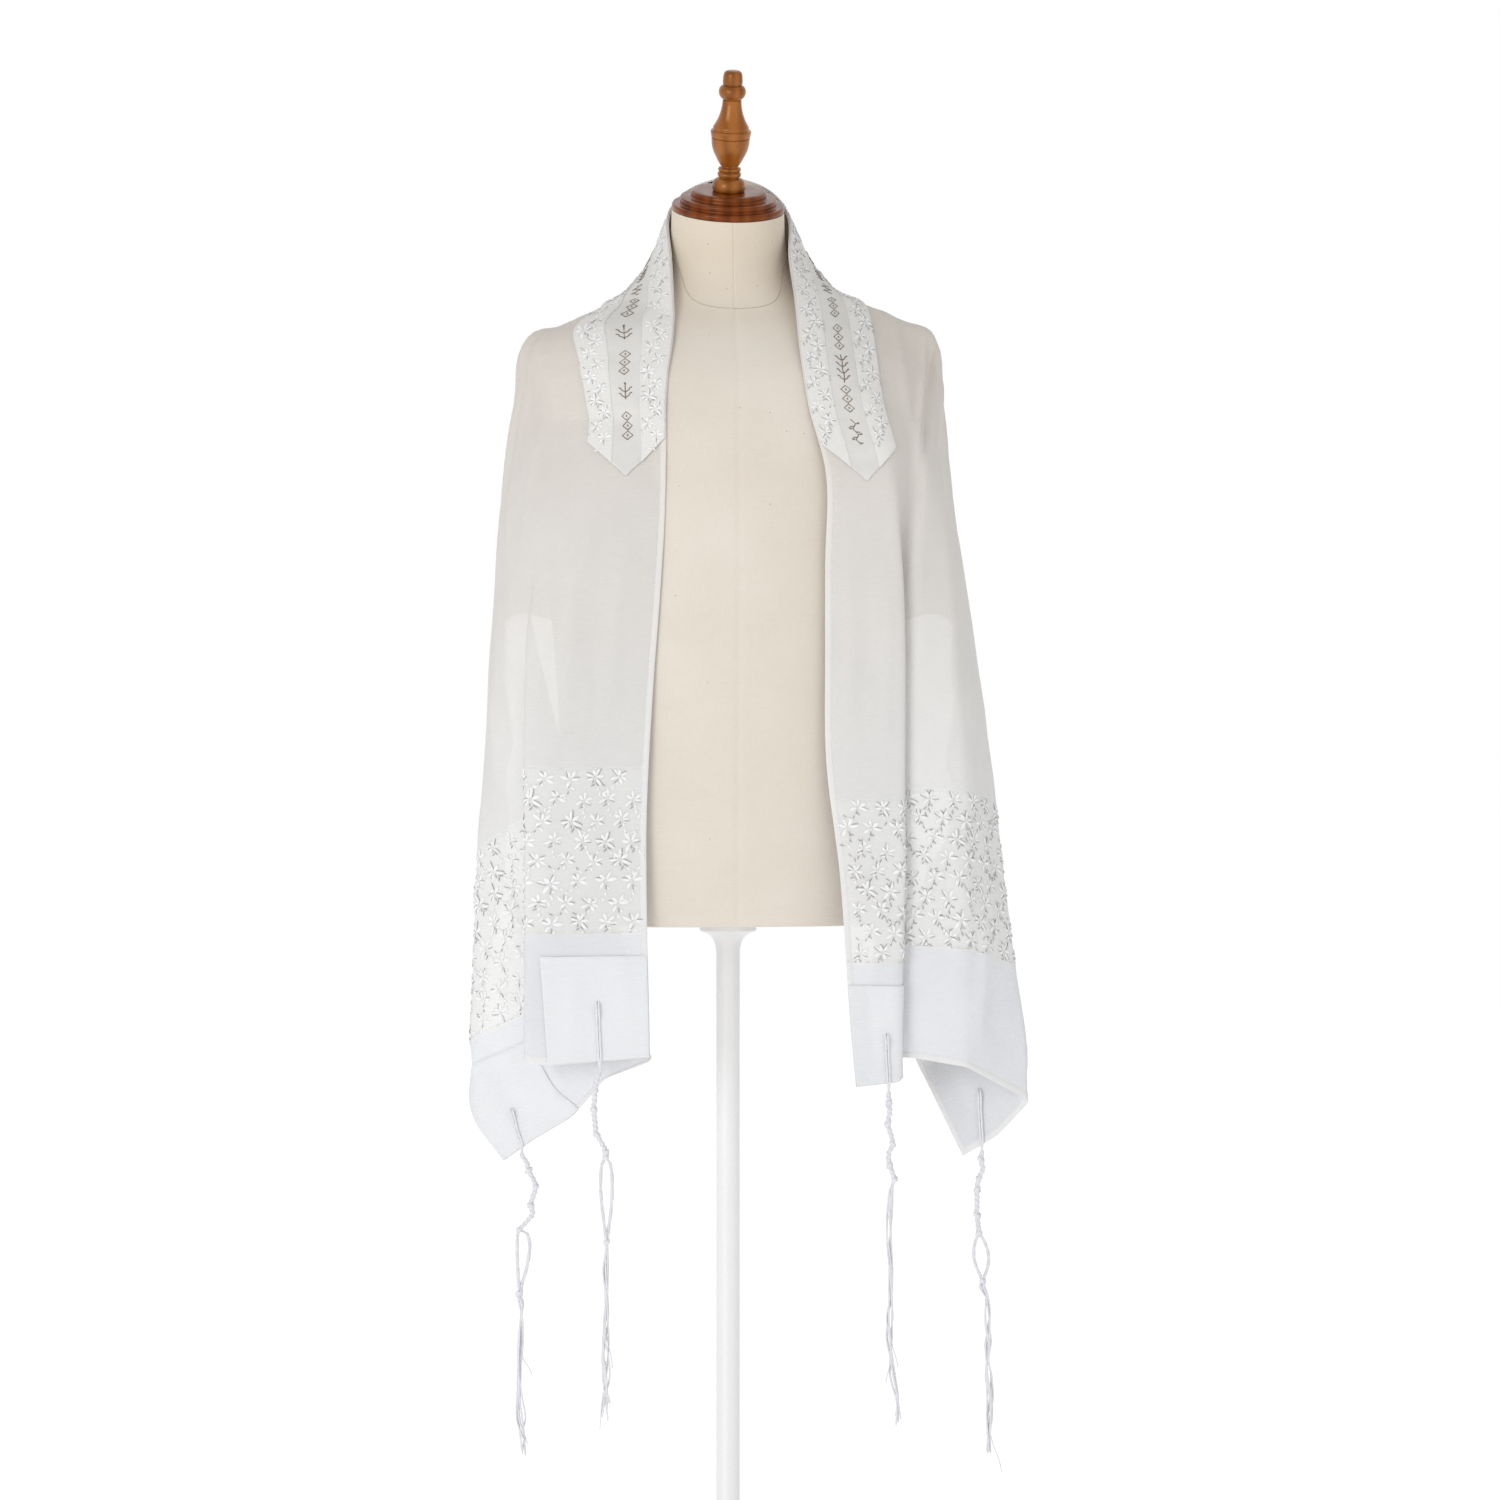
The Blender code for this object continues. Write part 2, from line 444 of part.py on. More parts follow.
# ---------------------------------------------------------------- corner tassels
# start on the sheet (distance up from the hem, from the inner edge), place on the hem, face of the sheet,
# then the hanging cord from the hem down: x step, z, radius; loop: z top, z bottom, half width;
# bunch: (x, z) of its middle line, and strand lengths follow from the ends
TASSELS = {
    "left_inner": dict(side=-1, hole=(57, 50), hem=50, face=1,
                       cord=[(-2, 628, 1.7), (-4.5, 618, 1.8), (-5, 612, 3.3), (-5.5, 603, 1.8), (-6, 594, 3.3), (-5, 582, 1.9),
                             (-3, 568, 3.3), (2, 560, 1.9), (6, 551, 3.3), (6, 545, 2.6)],
                       loop=(541, 462, 6.0, 5), knot=(455, 2.4), bunch=[(7, 420), (6, 380), (7, 345), (6, 312)], tail=24),
    "left_outer": dict(side=-1, hole=(50, 410), hem=428, face=1,
                       cord=[(1, 548, 1.7), (3, 541, 3.2), (5, 532, 1.9), (7, 524, 3.3), (13, 512, 2.0), (14, 507, 3.3), (11, 496, 2.0),
                             (9, 488, 3.3), (11, 480, 3.2), (4, 470, 2.0), (-3, 463, 3.0)],
                       loop=(459, 412, 7.5, 4), knot=(406, 2.4), bunch=[(-3, 365), (-1, 330), (-2, 290), (-1, 255)], tail=30),
    "right_inner": dict(side=1, hole=(53, 38), hem=38, face=1,
                        cord=[(0, 606, 1.7), (0, 598, 3.2), (1, 588, 1.9), (-1, 577, 3.3), (2, 566, 1.9), (4, 556, 3.3), (0, 545, 1.9),
                              (1, 534, 3.3), (4, 526, 2.0), (6, 519, 3.2), (4, 514, 2.6)],
                        loop=None, knot=None, bunch=[(1, 480), (0, 448), (2, 396), (1, 356), (3, 325), (9, 290)], tail=20),
    "right_outer": dict(side=1, hole=(50, 401), hem=427, face=-1,
                        cord=[(0, 541, 1.7), (-1, 532, 3.2), (1, 522, 1.9), (-3, 513, 3.2), (-5, 501, 3.3), (-5, 490, 1.9),
                              (-5, 474, 3.3), (-4, 466, 2.0), (-3, 455, 3.2)],
                        loop=(451, 408, 7.0, 4), knot=(402, 3.4), bunch=[(6, 372), (8, 340), (7, 305), (9, 265)], tail=30),
}
SIDES = 8


def oct_ring(center, radius, turn=0.0):
    return [(center[0] + radius * math.cos(2 * math.pi * i / SIDES + turn),
             center[1] + radius * math.sin(2 * math.pi * i / SIDES + turn), center[2]) for i in range(SIDES)]


def tilted_ring(center, radius, ahead):
    d = np.array(ahead, float) / np.linalg.norm(ahead)
    side = np.cross(d, (0, 1.0, 0))
    side /= np.linalg.norm(side)
    up = np.cross(side, d)
    return [tuple(np.array(center) + radius * (math.cos(2 * math.pi * i / SIDES) * side
                                               - math.sin(2 * math.pi * i / SIDES) * up)) for i in range(SIDES)]


def tassel(name, spec):
    side, end = spec["side"], (left_end if spec["side"] < 0 else right_end)
    up_hole, v_hole = spec["hole"]
    line = [(up_hole, v_hole)] + [(up_hole * (1 - k), v_hole + (spec["hem"] - v_hole) * k) for k in (0.35, 0.7, 1.0)]
    path = []
    off = (wall + 0.35 + 0.9 + 0.5 + 1.6) if spec["face"] > 0 else wall + 0.6 + 1.6
    for d, v in line:
        near = np.array([v - 4, v, v + 4])
        g, m = sheet_grid([side * (end - max(d, 3.0)), side * (end - max(d, 3.0) + 0.5)], lambda s, u: near)
        path.append(g[0, 1] + m[0, 1] * spec["face"] * off)
    drop = path[-1].copy()
    drop[2] -= 9.0
    pts = [(p, 1.6) for p in path] + [(drop, 1.6)]
    x0, y0 = drop[0], drop[1]
    pts += [(np.array([x0 + dx, y0, z]), 1.25 * r) for dx, z, r in spec["cord"] if z < drop[2] - 3]
    verts, faces = [], []
    centers = [p for p, _ in pts]
    for k, (p, r) in enumerate(pts):
        ahead = centers[min(k + 1, len(pts) - 1)] - centers[max(k - 1, 0)]
        if k == len(pts) - 1:
            ahead = np.array([0, 0, -1.0])
        verts += tilted_ring(p, r, ahead)
    for k in range(len(pts) - 1):
        for i in range(SIDES):
            j = (i + 1) % SIDES
            faces.append((k * SIDES + i, k * SIDES + j, (k + 1) * SIDES + j, (k + 1) * SIDES + i))
    faces.append(tuple(range(SIDES))[::-1])
    last = (len(pts) - 1) * SIDES
    root = [last + i for i in range(SIDES)]
    center, radius = centers[-1], pts[-1][1]

    def flat_ring(c, r):
        start = len(verts)
        verts.extend(tilted_ring(c, r, (0, 0, -1.0)))
        return [start + i for i in range(SIDES)]

    if spec["loop"]:
        top, bottom, wide, steps = spec["loop"]
        kz, kr = spec["knot"]
        kx = x0 + spec["bunch"][0][0] * 0.5 + (center[0] - x0) * 0.5
        lower = flat_ring((kx, y0, kz), kr)
        halves = ([6, 7, 0, 1, 2], [2, 3, 4, 5, 6])
        for half in halves:
            ring_now = [root[i] for i in half]
            bow = np.mean([np.array(verts[root[i]]) for i in half], axis=0) - np.array(center)
            sx = math.copysign(1.0, bow[0])
            for s in range(1, steps + 1):
                k = s / (steps + 1)
                z = center[2] + (kz - center[2]) * k
                cx = center[0] + (kx - center[0]) * k + sx * wide * math.sin(math.pi * k)
                shape = [np.array(verts[root[i]]) - np.array(center) - bow for i in half]
                fresh = []
                for q in shape:
                    verts.append((cx + q[0] * 0.62, y0 + bow[1] * 0.5 + q[1] * 0.62, z))
                    fresh.append(len(verts) - 1)
                for i in range(5):
                    j = (i + 1) % 5
                    faces.append((ring_now[i], ring_now[j], fresh[j], fresh[i]))
                ring_now = fresh
            target = [lower[i] for i in half]
            for i in range(5):
                j = (i + 1) % 5
                faces.append((ring_now[i], ring_now[j], target[j], target[i]))
        below = flat_ring((kx, y0, kz - 8), kr * 0.9)
        for i in range(SIDES):
            j = (i + 1) % SIDES
            faces.append((lower[i], lower[j], below[j], below[i]))
        root, center = below, np.array([kx, y0, kz - 8])
    hub = len(verts)
    verts.append(tuple(center))
    trail = [(center[0], center[2])] + [(x0 + dx, z) for dx, z in spec["bunch"]]
    floor = trail[-1][1]
    for i in range(SIDES):
        j = (i + 1) % SIDES
        ring_now = [hub, root[i], root[j]]
        a = 2 * math.pi * (i + 0.5) / SIDES
        way = np.mean([np.array(verts[k]) for k in (root[i], root[j])], axis=0) - center
        way = way / np.linalg.norm(way)
        reach = floor - spec["tail"] * (0.15 + 0.85 * ((i * 5) % SIDES) / SIDES)
        stops = [(x, z) for x, z in trail[1:-1]] + [(trail[-1][0], floor), (trail[-1][0], reach)]
        for s, (x, z) in enumerate(stops):
            spread = 2.3 + 0.5 * s
            c = np.array([x, y0, z + (2.0 if s < len(stops) - 1 else 0.0) * math.sin(i * 2.1)]) + way * spread
            r = 0.85 if s < len(stops) - 1 else 0.45
            fresh = []
            side_way = np.array([-way[1], way[0], 0.0])
            for q in (-way * r, way * r * 0.5 - side_way * r * 0.87, way * r * 0.5 + side_way * r * 0.87):
                verts.append(tuple(c + q))
                fresh.append(len(verts) - 1)
            if s == 0 and np.dot(np.array(verts[root[i]]) - np.array(verts[root[j]]), np.array(verts[fresh[1]]) - np.array(verts[fresh[2]])) < 0:
                fresh[1], fresh[2] = fresh[2], fresh[1]
                flip = True
            elif s == 0:
                flip = False
            elif flip:
                fresh[1], fresh[2] = fresh[2], fresh[1]
            for m in range(3):
                q = (m + 1) % 3
                faces.append((ring_now[m], ring_now[q], fresh[q], fresh[m]))
            ring_now = fresh
        faces.append(tuple(ring_now))
    add_object("tassel_" + name, verts, faces)


for name, spec in TASSELS.items():
    tassel(name, spec)
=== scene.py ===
import json
import math
import random

import bmesh
import bpy
import numpy as np
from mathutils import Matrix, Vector

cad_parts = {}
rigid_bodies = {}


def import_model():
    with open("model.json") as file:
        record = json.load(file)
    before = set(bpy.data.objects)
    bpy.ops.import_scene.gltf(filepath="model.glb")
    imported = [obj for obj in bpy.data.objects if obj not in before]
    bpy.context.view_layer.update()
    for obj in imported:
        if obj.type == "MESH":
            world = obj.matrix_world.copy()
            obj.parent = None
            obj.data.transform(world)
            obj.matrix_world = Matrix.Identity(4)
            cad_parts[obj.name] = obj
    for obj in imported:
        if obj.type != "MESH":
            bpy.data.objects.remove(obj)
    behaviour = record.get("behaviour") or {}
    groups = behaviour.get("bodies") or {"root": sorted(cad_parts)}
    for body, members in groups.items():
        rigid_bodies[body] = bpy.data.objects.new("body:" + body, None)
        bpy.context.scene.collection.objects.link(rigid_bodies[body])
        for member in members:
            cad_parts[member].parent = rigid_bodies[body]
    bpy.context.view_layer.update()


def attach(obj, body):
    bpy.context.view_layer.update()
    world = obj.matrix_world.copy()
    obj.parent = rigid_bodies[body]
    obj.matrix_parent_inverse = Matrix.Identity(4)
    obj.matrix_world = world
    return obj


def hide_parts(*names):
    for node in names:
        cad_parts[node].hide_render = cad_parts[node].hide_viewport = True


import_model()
scene = bpy.context.scene
mm = 0.001


def addObject(name, data):
    obj = bpy.data.objects.new(name, data)
    scene.collection.objects.link(obj)
    return obj


# a level camera straight at the front, a short telephoto
view = {"place": (0.0233, -3.5, 0.96), "lens": 79.245, "sensor": 36.0}
lens = bpy.data.cameras.new("frontCamera")
lens.lens, lens.sensor_width = view["lens"], view["sensor"]
lens.dof.use_dof = False
scene.camera = addObject("frontCamera", lens)
scene.camera.location = view["place"]
scene.camera.rotation_euler = (math.radians(90), 0, 0)

# the cloth in millimetres: u runs from the nape, negative on the viewer's left, and v from the inner edge
shawl = {
    "width": 456.0,
    "leftHalf": 1015.0,
    "rightHalf": 1048.0,
    "bandLow": 126.0,      # lace, measured up from the hem
    "bandHigh": 298.0,
    "patch": 104.0,
    "gap": 2.5,            # least distance from the form
    "rowStep": 5.5,
    "columns": 125,
    "soft": {-1: (430, 560), 1: (310, 440)},   # where a half's folds turn from soft to crisp
    "rounding": (17.0, 4.6),                   # of the folds, soft and crisp
}
yaw = math.radians(6.0)

# dress form: height, half width, half depth, centre y, tilt
formRings = [
    (778, 186, 108, -4, 0), (800, 187, 109, -4, 0), (870, 183, 110, -5, 0), (960, 178, 111, -6, 0),
    (1060, 183, 114, -5, 0), (1160, 193, 117, -3, 0), (1250, 201, 119, -1, 0), (1310, 206, 117, 1, 0),
    (1350, 208, 110, 3, 0), (1372, 207, 101, 5, 0), (1388, 200, 93, 7, 0), (1400, 184, 87, 9, 0),
    (1412, 159, 81, 10, 2), (1424, 134, 76, 11, 5), (1436, 111, 72, 11, 8), (1447, 92, 69, 10, 11),
    (1458, 79, 66, 8, 14), (1470, 69, 63, 5, 17), (1486, 63, 61, 2, 20), (1506, 60.5, 60, -2, 22),
    (1531, 59.5, 59.5, -8, 22),
]

# sections across the cloth, one row per distance from the nape, then x y z of
# inner edge, patch line, front fold, pleat fold, under layer, outer layer, side fold, outer edge
napeFolds = [   # the same on both sides, mirrored
    (0, (0, 66, 1581), (0, 66, 1505), (0, 80, 1440), (0, 101, 1385), (0, 117, 1320), (0, 124, 1255),
     (0, 128, 1190), (0, 131, 1120)),
    (55, (42, 51, 1563), (52, 54, 1494), (58, 76, 1436), (62, 99, 1380), (64, 114, 1315), (64, 122, 1250),
     (63, 127, 1185), (62, 130, 1115)),
]
leftFolds = [
    (110, (-62, 6, 1527), (-84, 22, 1474), (-104, 47, 1442), (-114, 78, 1394), (-119, 97, 1330),
     (-124, 107, 1265), (-123, 114, 1190), (-121, 118, 1108)),
    (165, (-59, -36, 1478), (-91, -21, 1455), (-119, 8, 1436), (-151, 44, 1404), (-174, 69, 1345),
     (-178, 84, 1275), (-179, 94, 1195), (-176, 101, 1100)),
    (225, (-56, -68, 1430), (-92, -53, 1425), (-131, -28, 1426), (-166, -4, 1412), (-222, 14, 1397),
     (-225, 28, 1320), (-231, 46, 1220), (-222, 80, 1108)),
    (277, (-54, -92, 1385), (-100, -86, 1381), (-145, -66, 1377), (-181, -44, 1370), (-220, -16, 1352),
     (-229, 10, 1285), (-239, 42, 1198), (-243, 98, 1100)),
    (346, (-58, -110, 1319), (-108, -112, 1317), (-150, -98, 1313), (-188, -74, 1305), (-220, -42, 1288),
     (-234, -8, 1245), (-243, 36, 1168), (-250, 104, 1062)),
    (408, (-61, -120, 1257), (-115, -126, 1256), (-152, -118, 1253), (-190, -98, 1247), (-222, -68, 1233),
     (-238, -30, 1205), (-245, 22, 1140), (-246, 104, 1018)),
    (500, (-66, -124, 1166), (-148, -133, 1165), (-190, -122, 1161), (-201, -114, 1158), (-225, -84, 1148),
     (-241, -46, 1128), (-250, 8, 1072), (-240, 98, 952)),
    (560, (-70, -123, 1106), (-172, -135, 1105), (-203, -129, 1103), (-198, -119, 1101), (-225, -92, 1090),
     (-243, -55, 1072), (-254, -4, 1018), (-240, 90, 905)),
    (640, (-76, -123, 1026), (-178, -137, 1025), (-207, -132, 1024), (-180, -118, 1012), (-222, -94, 994),
     (-245, -62, 970), (-259, -18, 925), (-242, 80, 840)),
    (721, (-81, -124, 940), (-182, -138, 939), (-208, -133, 938), (-154, -117, 914), (-212, -90, 884),
     (-240, -68, 868), (-263, -42, 852), (-248, 62, 780)),
    (775, (-83, -125, 885), (-184, -138, 884), (-208, -133, 883), (-133, -116, 859), (-195, -95, 829),
     (-238, -70, 805), (-265, -44, 790), (-256, 28, 735)),
    (830, (-83, -127, 830), (-184, -138, 829), (-208, -133, 828), (-118, -115, 803), (-184, -97, 768),
     (-236, -72, 740), (-268, -46, 722), (-262, 12, 672)),
    (895, (-82, -130, 766), (-184, -138, 765), (-208, -133, 764), (-100, -115, 742), (-170, -99, 700),
     (-226, -74, 670), (-269, -48, 650), (-269, -18, 622)),
    (960, (-80, -134, 701), (-182, -138, 700), (-208, -133, 699), (-84, -114, 668), (-150, -101, 628),
     (-208, -80, 598), (-250, -58, 580), (-266, -47, 576)),
    (1015, (-79, -134, 647), (-182, -138, 639), (-208, -133, 644), (-77, -113, 645), (-126, -104, 622),
     (-160, -95, 582), (-202, -80, 556), (-233, -65, 533)),
]

# inner edge, front lip, valley floor, far lip, outer layer, side fold, back layer, outer edge
rightFolds = [
    (110, (63, 6, 1526), (88, 22, 1474), (110, 47, 1443), (118, 78, 1396), (121, 97, 1332), (126, 107, 1266),
     (125, 114, 1190), (123, 118, 1108)),
    (165, (64, -36, 1477), (98, -19, 1456), (122, 10, 1438), (154, 45, 1407), (176, 69, 1349),
     (181, 84, 1276), (182, 94, 1195), (179, 101, 1100)),
    (225, (70, -68, 1427), (104, -50, 1427), (136, -26, 1431), (177, -2, 1419), (224, 14, 1401),
     (225, 32, 1322), (231, 48, 1222), (222, 80, 1108)),
    (283, (75, -92, 1373), (122, -84, 1372), (168, -60, 1370), (198, -35, 1367), (223, -12, 1356),
     (230, 12, 1285), (238, 44, 1194), (242, 98, 1096)),
    (346, (84, -106, 1313), (154, -101, 1310), (195, -64, 1304), (207, -67, 1298), (221, -40, 1282),
     (232, -5, 1245), (243, 40, 1162), (249, 105, 1052)),
    (412, (101, -111, 1249), (170, -108, 1248), (194, -78, 1246), (205, -86, 1244), (223, -66, 1236),
     (237, -30, 1215), (247, 28, 1135), (246, 105, 1003)),
    (510, (101, -109, 1151), (181, -107, 1151), (170, -90, 1150), (195, -96, 1150), (233, -76, 1142),
     (252, -38, 1125), (258, 24, 1050), (242, 98, 925)),
    (600, (101, -108, 1061), (184, -106, 1061), (160, -90, 1061), (195, -97, 1062), (238, -84, 1056),
     (264, -42, 1042), (264, 22, 970), (238, 80, 868)),
    (711, (102, -108, 950), (184, -106, 950), (154, -90, 953), (195, -98, 958), (244, -92, 956),
     (278, -48, 944), (264, 14, 895), (214, 56, 828)),
    (830, (116, -113, 832), (184, -111, 832), (152, -93, 838), (194, -101, 846), (247, -97, 843),
     (291, -52, 826), (252, 0, 782), (190, 28, 728)),
    (915, (122, -118, 748), (182, -109, 748), (150, -92, 756), (192, -99, 764), (248, -99, 760),
     (302, -56, 741), (254, -14, 700), (192, 6, 652)),
    (980, (126, -118, 683), (180, -107, 684), (148, -90, 694), (190, -96, 702), (246, -100, 697),
     (310, -60, 672), (264, -42, 625), (217, -28, 596)),
    (1048, (132, -118, 615), (180, -105, 622), (148, -87, 638), (189, -92, 643), (246, -99, 634),
     (315, -60, 595), (282, -52, 558), (246, -46, 536)),
]


def tangents(stations, values):
    slope = np.diff(values, axis=0) / np.diff(stations).reshape([-1] + [1] * (values.ndim - 1))
    out = np.empty_like(values)
    out[0], out[-1] = slope[0], slope[-1]
    step = np.diff(stations)
    for i in range(1, len(stations) - 1):
        a, b = step[i - 1], step[i]
        out[i] = (slope[i - 1] * b + slope[i] * a) / (a + b)
    return out


def between(stations, values, slopes, at):
    i = int(np.clip(np.searchsorted(stations, at) - 1, 0, len(stations) - 2))
    h = stations[i + 1] - stations[i]
    t = (at - stations[i]) / h
    return ((2 * t**3 - 3 * t**2 + 1) * values[i] + (t**3 - 2 * t**2 + t) * h * slopes[i]
            + (-2 * t**3 + 3 * t**2) * values[i + 1] + (t**3 - t**2) * h * slopes[i + 1])


def smooth(a, b, x):
    t = np.clip((x - a) / (b - a), 0.0, 1.0)
    return t * t * (3 - 2 * t)


def turned(x, y, way=1):   # by the form's yaw
    c, s = math.cos(yaw), way * math.sin(yaw)
    return x * c - y * s, x * s + y * c


formRows = np.array(formRings, float)
formSlopes = tangents(formRows[:, 0], formRows)


# how square the form's sections are, and what widens the gap where the shoulders slope
section = {"square": 2.35, "round": 2.0, "from": 1400, "span": 70, "fall": 0.35}
shoulder = {"height": 1418, "span": 40.0, "wider": 2.1, "lowest": 762, "passes": 8}


def formPower(z):
    fall = (z - section["from"]) / section["span"] * section["fall"]
    softer = np.maximum(section["round"], section["square"] - fall)
    return np.where(z < section["from"], section["square"], softer)


def clearOfForm(points, gap):   # pushes what lies too near the form out of it
    x0, y0, z = points.reshape(-1, 3).T
    zr = z.copy()
    for _ in range(shoulder["passes"]):
        cy, tilt = (np.interp(zr, formRows[:, 0], formRows[:, k]) for k in (3, 4))
        tilt = np.radians(tilt)
        x, y = turned(x0, y0 - cy, -1)
        y = y / np.cos(tilt)
        zr = z - y * np.sin(tilt)
    a, b = (np.interp(zr, formRows[:, 0], formRows[:, k]) for k in (1, 2))
    p = formPower(zr)
    reach = (np.abs(x / a) ** p + np.abs(y / b) ** p) ** (1 / p)
    slant = 1 + shoulder["wider"] * np.exp(-((zr - shoulder["height"]) / shoulder["span"]) ** 2)
    need = 1 + gap * slant / np.maximum(np.hypot(x, y) / np.maximum(reach, 1e-6), 30.0)
    k = np.where((reach < need) & (zr > shoulder["lowest"]), need / np.maximum(reach, 1e-6), 1.0)
    x, y = x * k, y * k
    outX, outY = turned(x, y * np.cos(tilt))
    return np.stack([outX, outY + cy, zr + y * np.sin(tilt)], axis=1).reshape(points.shape)


def sideTables(side, rows):
    rows = [(r[0], *((side * x, y, z) for x, y, z in r[1:])) for r in napeFolds] + rows
    stations = np.array([r[0] for r in rows], float)
    keys = np.array([r[1:] for r in rows], float)
    steps = np.linalg.norm(np.diff(keys, axis=1), axis=2)
    reach = np.concatenate([np.zeros((len(rows), 1)), np.cumsum(steps, axis=1)], axis=1)
    reach = reach / reach[:, -1:] * shawl["width"]
    return [(stations, table, tangents(stations, table)) for table in (keys, reach)]


sides = {-1: sideTables(-1, leftFolds), 1: sideTables(1, rightFolds)}
opening = {"keys": {-1: (2, 3), 1: (1, 2)}, "half": 4.5, "turn": (70, 140)}   # of the sharp folds


def openFolds(side, keys, reach):   # a sharp turn becomes a round U
    outKeys, outReach = [keys[0]], [0.0]
    for j in range(1, 8):
        if j in opening["keys"][side]:
            steps = (keys[j] - keys[j - 1], keys[j + 1] - keys[j])
            a, b = (step / max(np.linalg.norm(step), 1e-6) for step in steps)
            turn = math.degrees(math.acos(float(np.clip(np.dot(a, b), -1, 1))))
            w = opening["half"] * float(smooth(*opening["turn"], turn))
            e = (a + b) / max(np.linalg.norm(a + b), 1e-6)
            outKeys += [keys[j] - e * w, keys[j] + e * w]
            outReach += [reach[j] - w, reach[j] + w]
        else:
            outKeys.append(keys[j])
            outReach.append(reach[j])
    outReach = np.maximum.accumulate(np.array(outReach) + np.arange(len(outReach)) * 1e-4)
    return np.array(outKeys), outReach


def along(side, u, v):   # the section at u, rounded over its corners
    keys, reach = openFolds(side, *(between(*table, u) for table in sides[side]))
    loose, crisp = shawl["rounding"]
    soft = loose + (crisp - loose) * smooth(*shawl["soft"][side], u)
    taps = np.array([-2.0, -1.3, -0.65, 0.0, 0.65, 1.3, 2.0])
    weight = np.exp(-0.5 * taps**2)
    weight = weight / weight.sum()
    first = (keys[1] - keys[0]) / (reach[1] - reach[0])
    last = (keys[-1] - keys[-2]) / (reach[-1] - reach[-2])
    out = np.zeros((len(v), 3))
    for tap, w in zip(taps, weight):
        at = v + tap * soft
        p = np.stack([np.interp(at, reach, keys[:, c]) for c in range(3)], axis=1)
        p += np.minimum(at - reach[0], 0)[:, None] * first + np.maximum(at - reach[-1], 0)[:, None] * last
        out += w * p
    return out


# loose swing of the outer edge: at the shoulder sideways, on the back out from it
falls = {"grow": (230, 330), "fade": (480, 630), "from": 285, "start": 270, "wave": 118.0, "swing": 6.0}
backFalls = {"fade": (110, 200), "from": 220, "wave": 75.0, "swing": 4.5}


def swing(side, u, v):
    grow = smooth(falls["from"], shawl["width"], v) * smooth(*falls["grow"], u)
    grow = grow * (1 - smooth(*falls["fade"], u))
    back = smooth(backFalls["from"], shawl["width"], v) * (1 - smooth(*backFalls["fade"], u))
    out = np.zeros((len(v), 3))
    out[:, 0] = side * grow * falls["swing"] * math.sin(2 * math.pi * (u - falls["start"]) / falls["wave"])
    wave = backFalls["swing"] * (1 - math.cos(2 * math.pi * u / backFalls["wave"]))
    out[:, 1] = 0.3 * side * out[:, 0] + back * wave
    return out


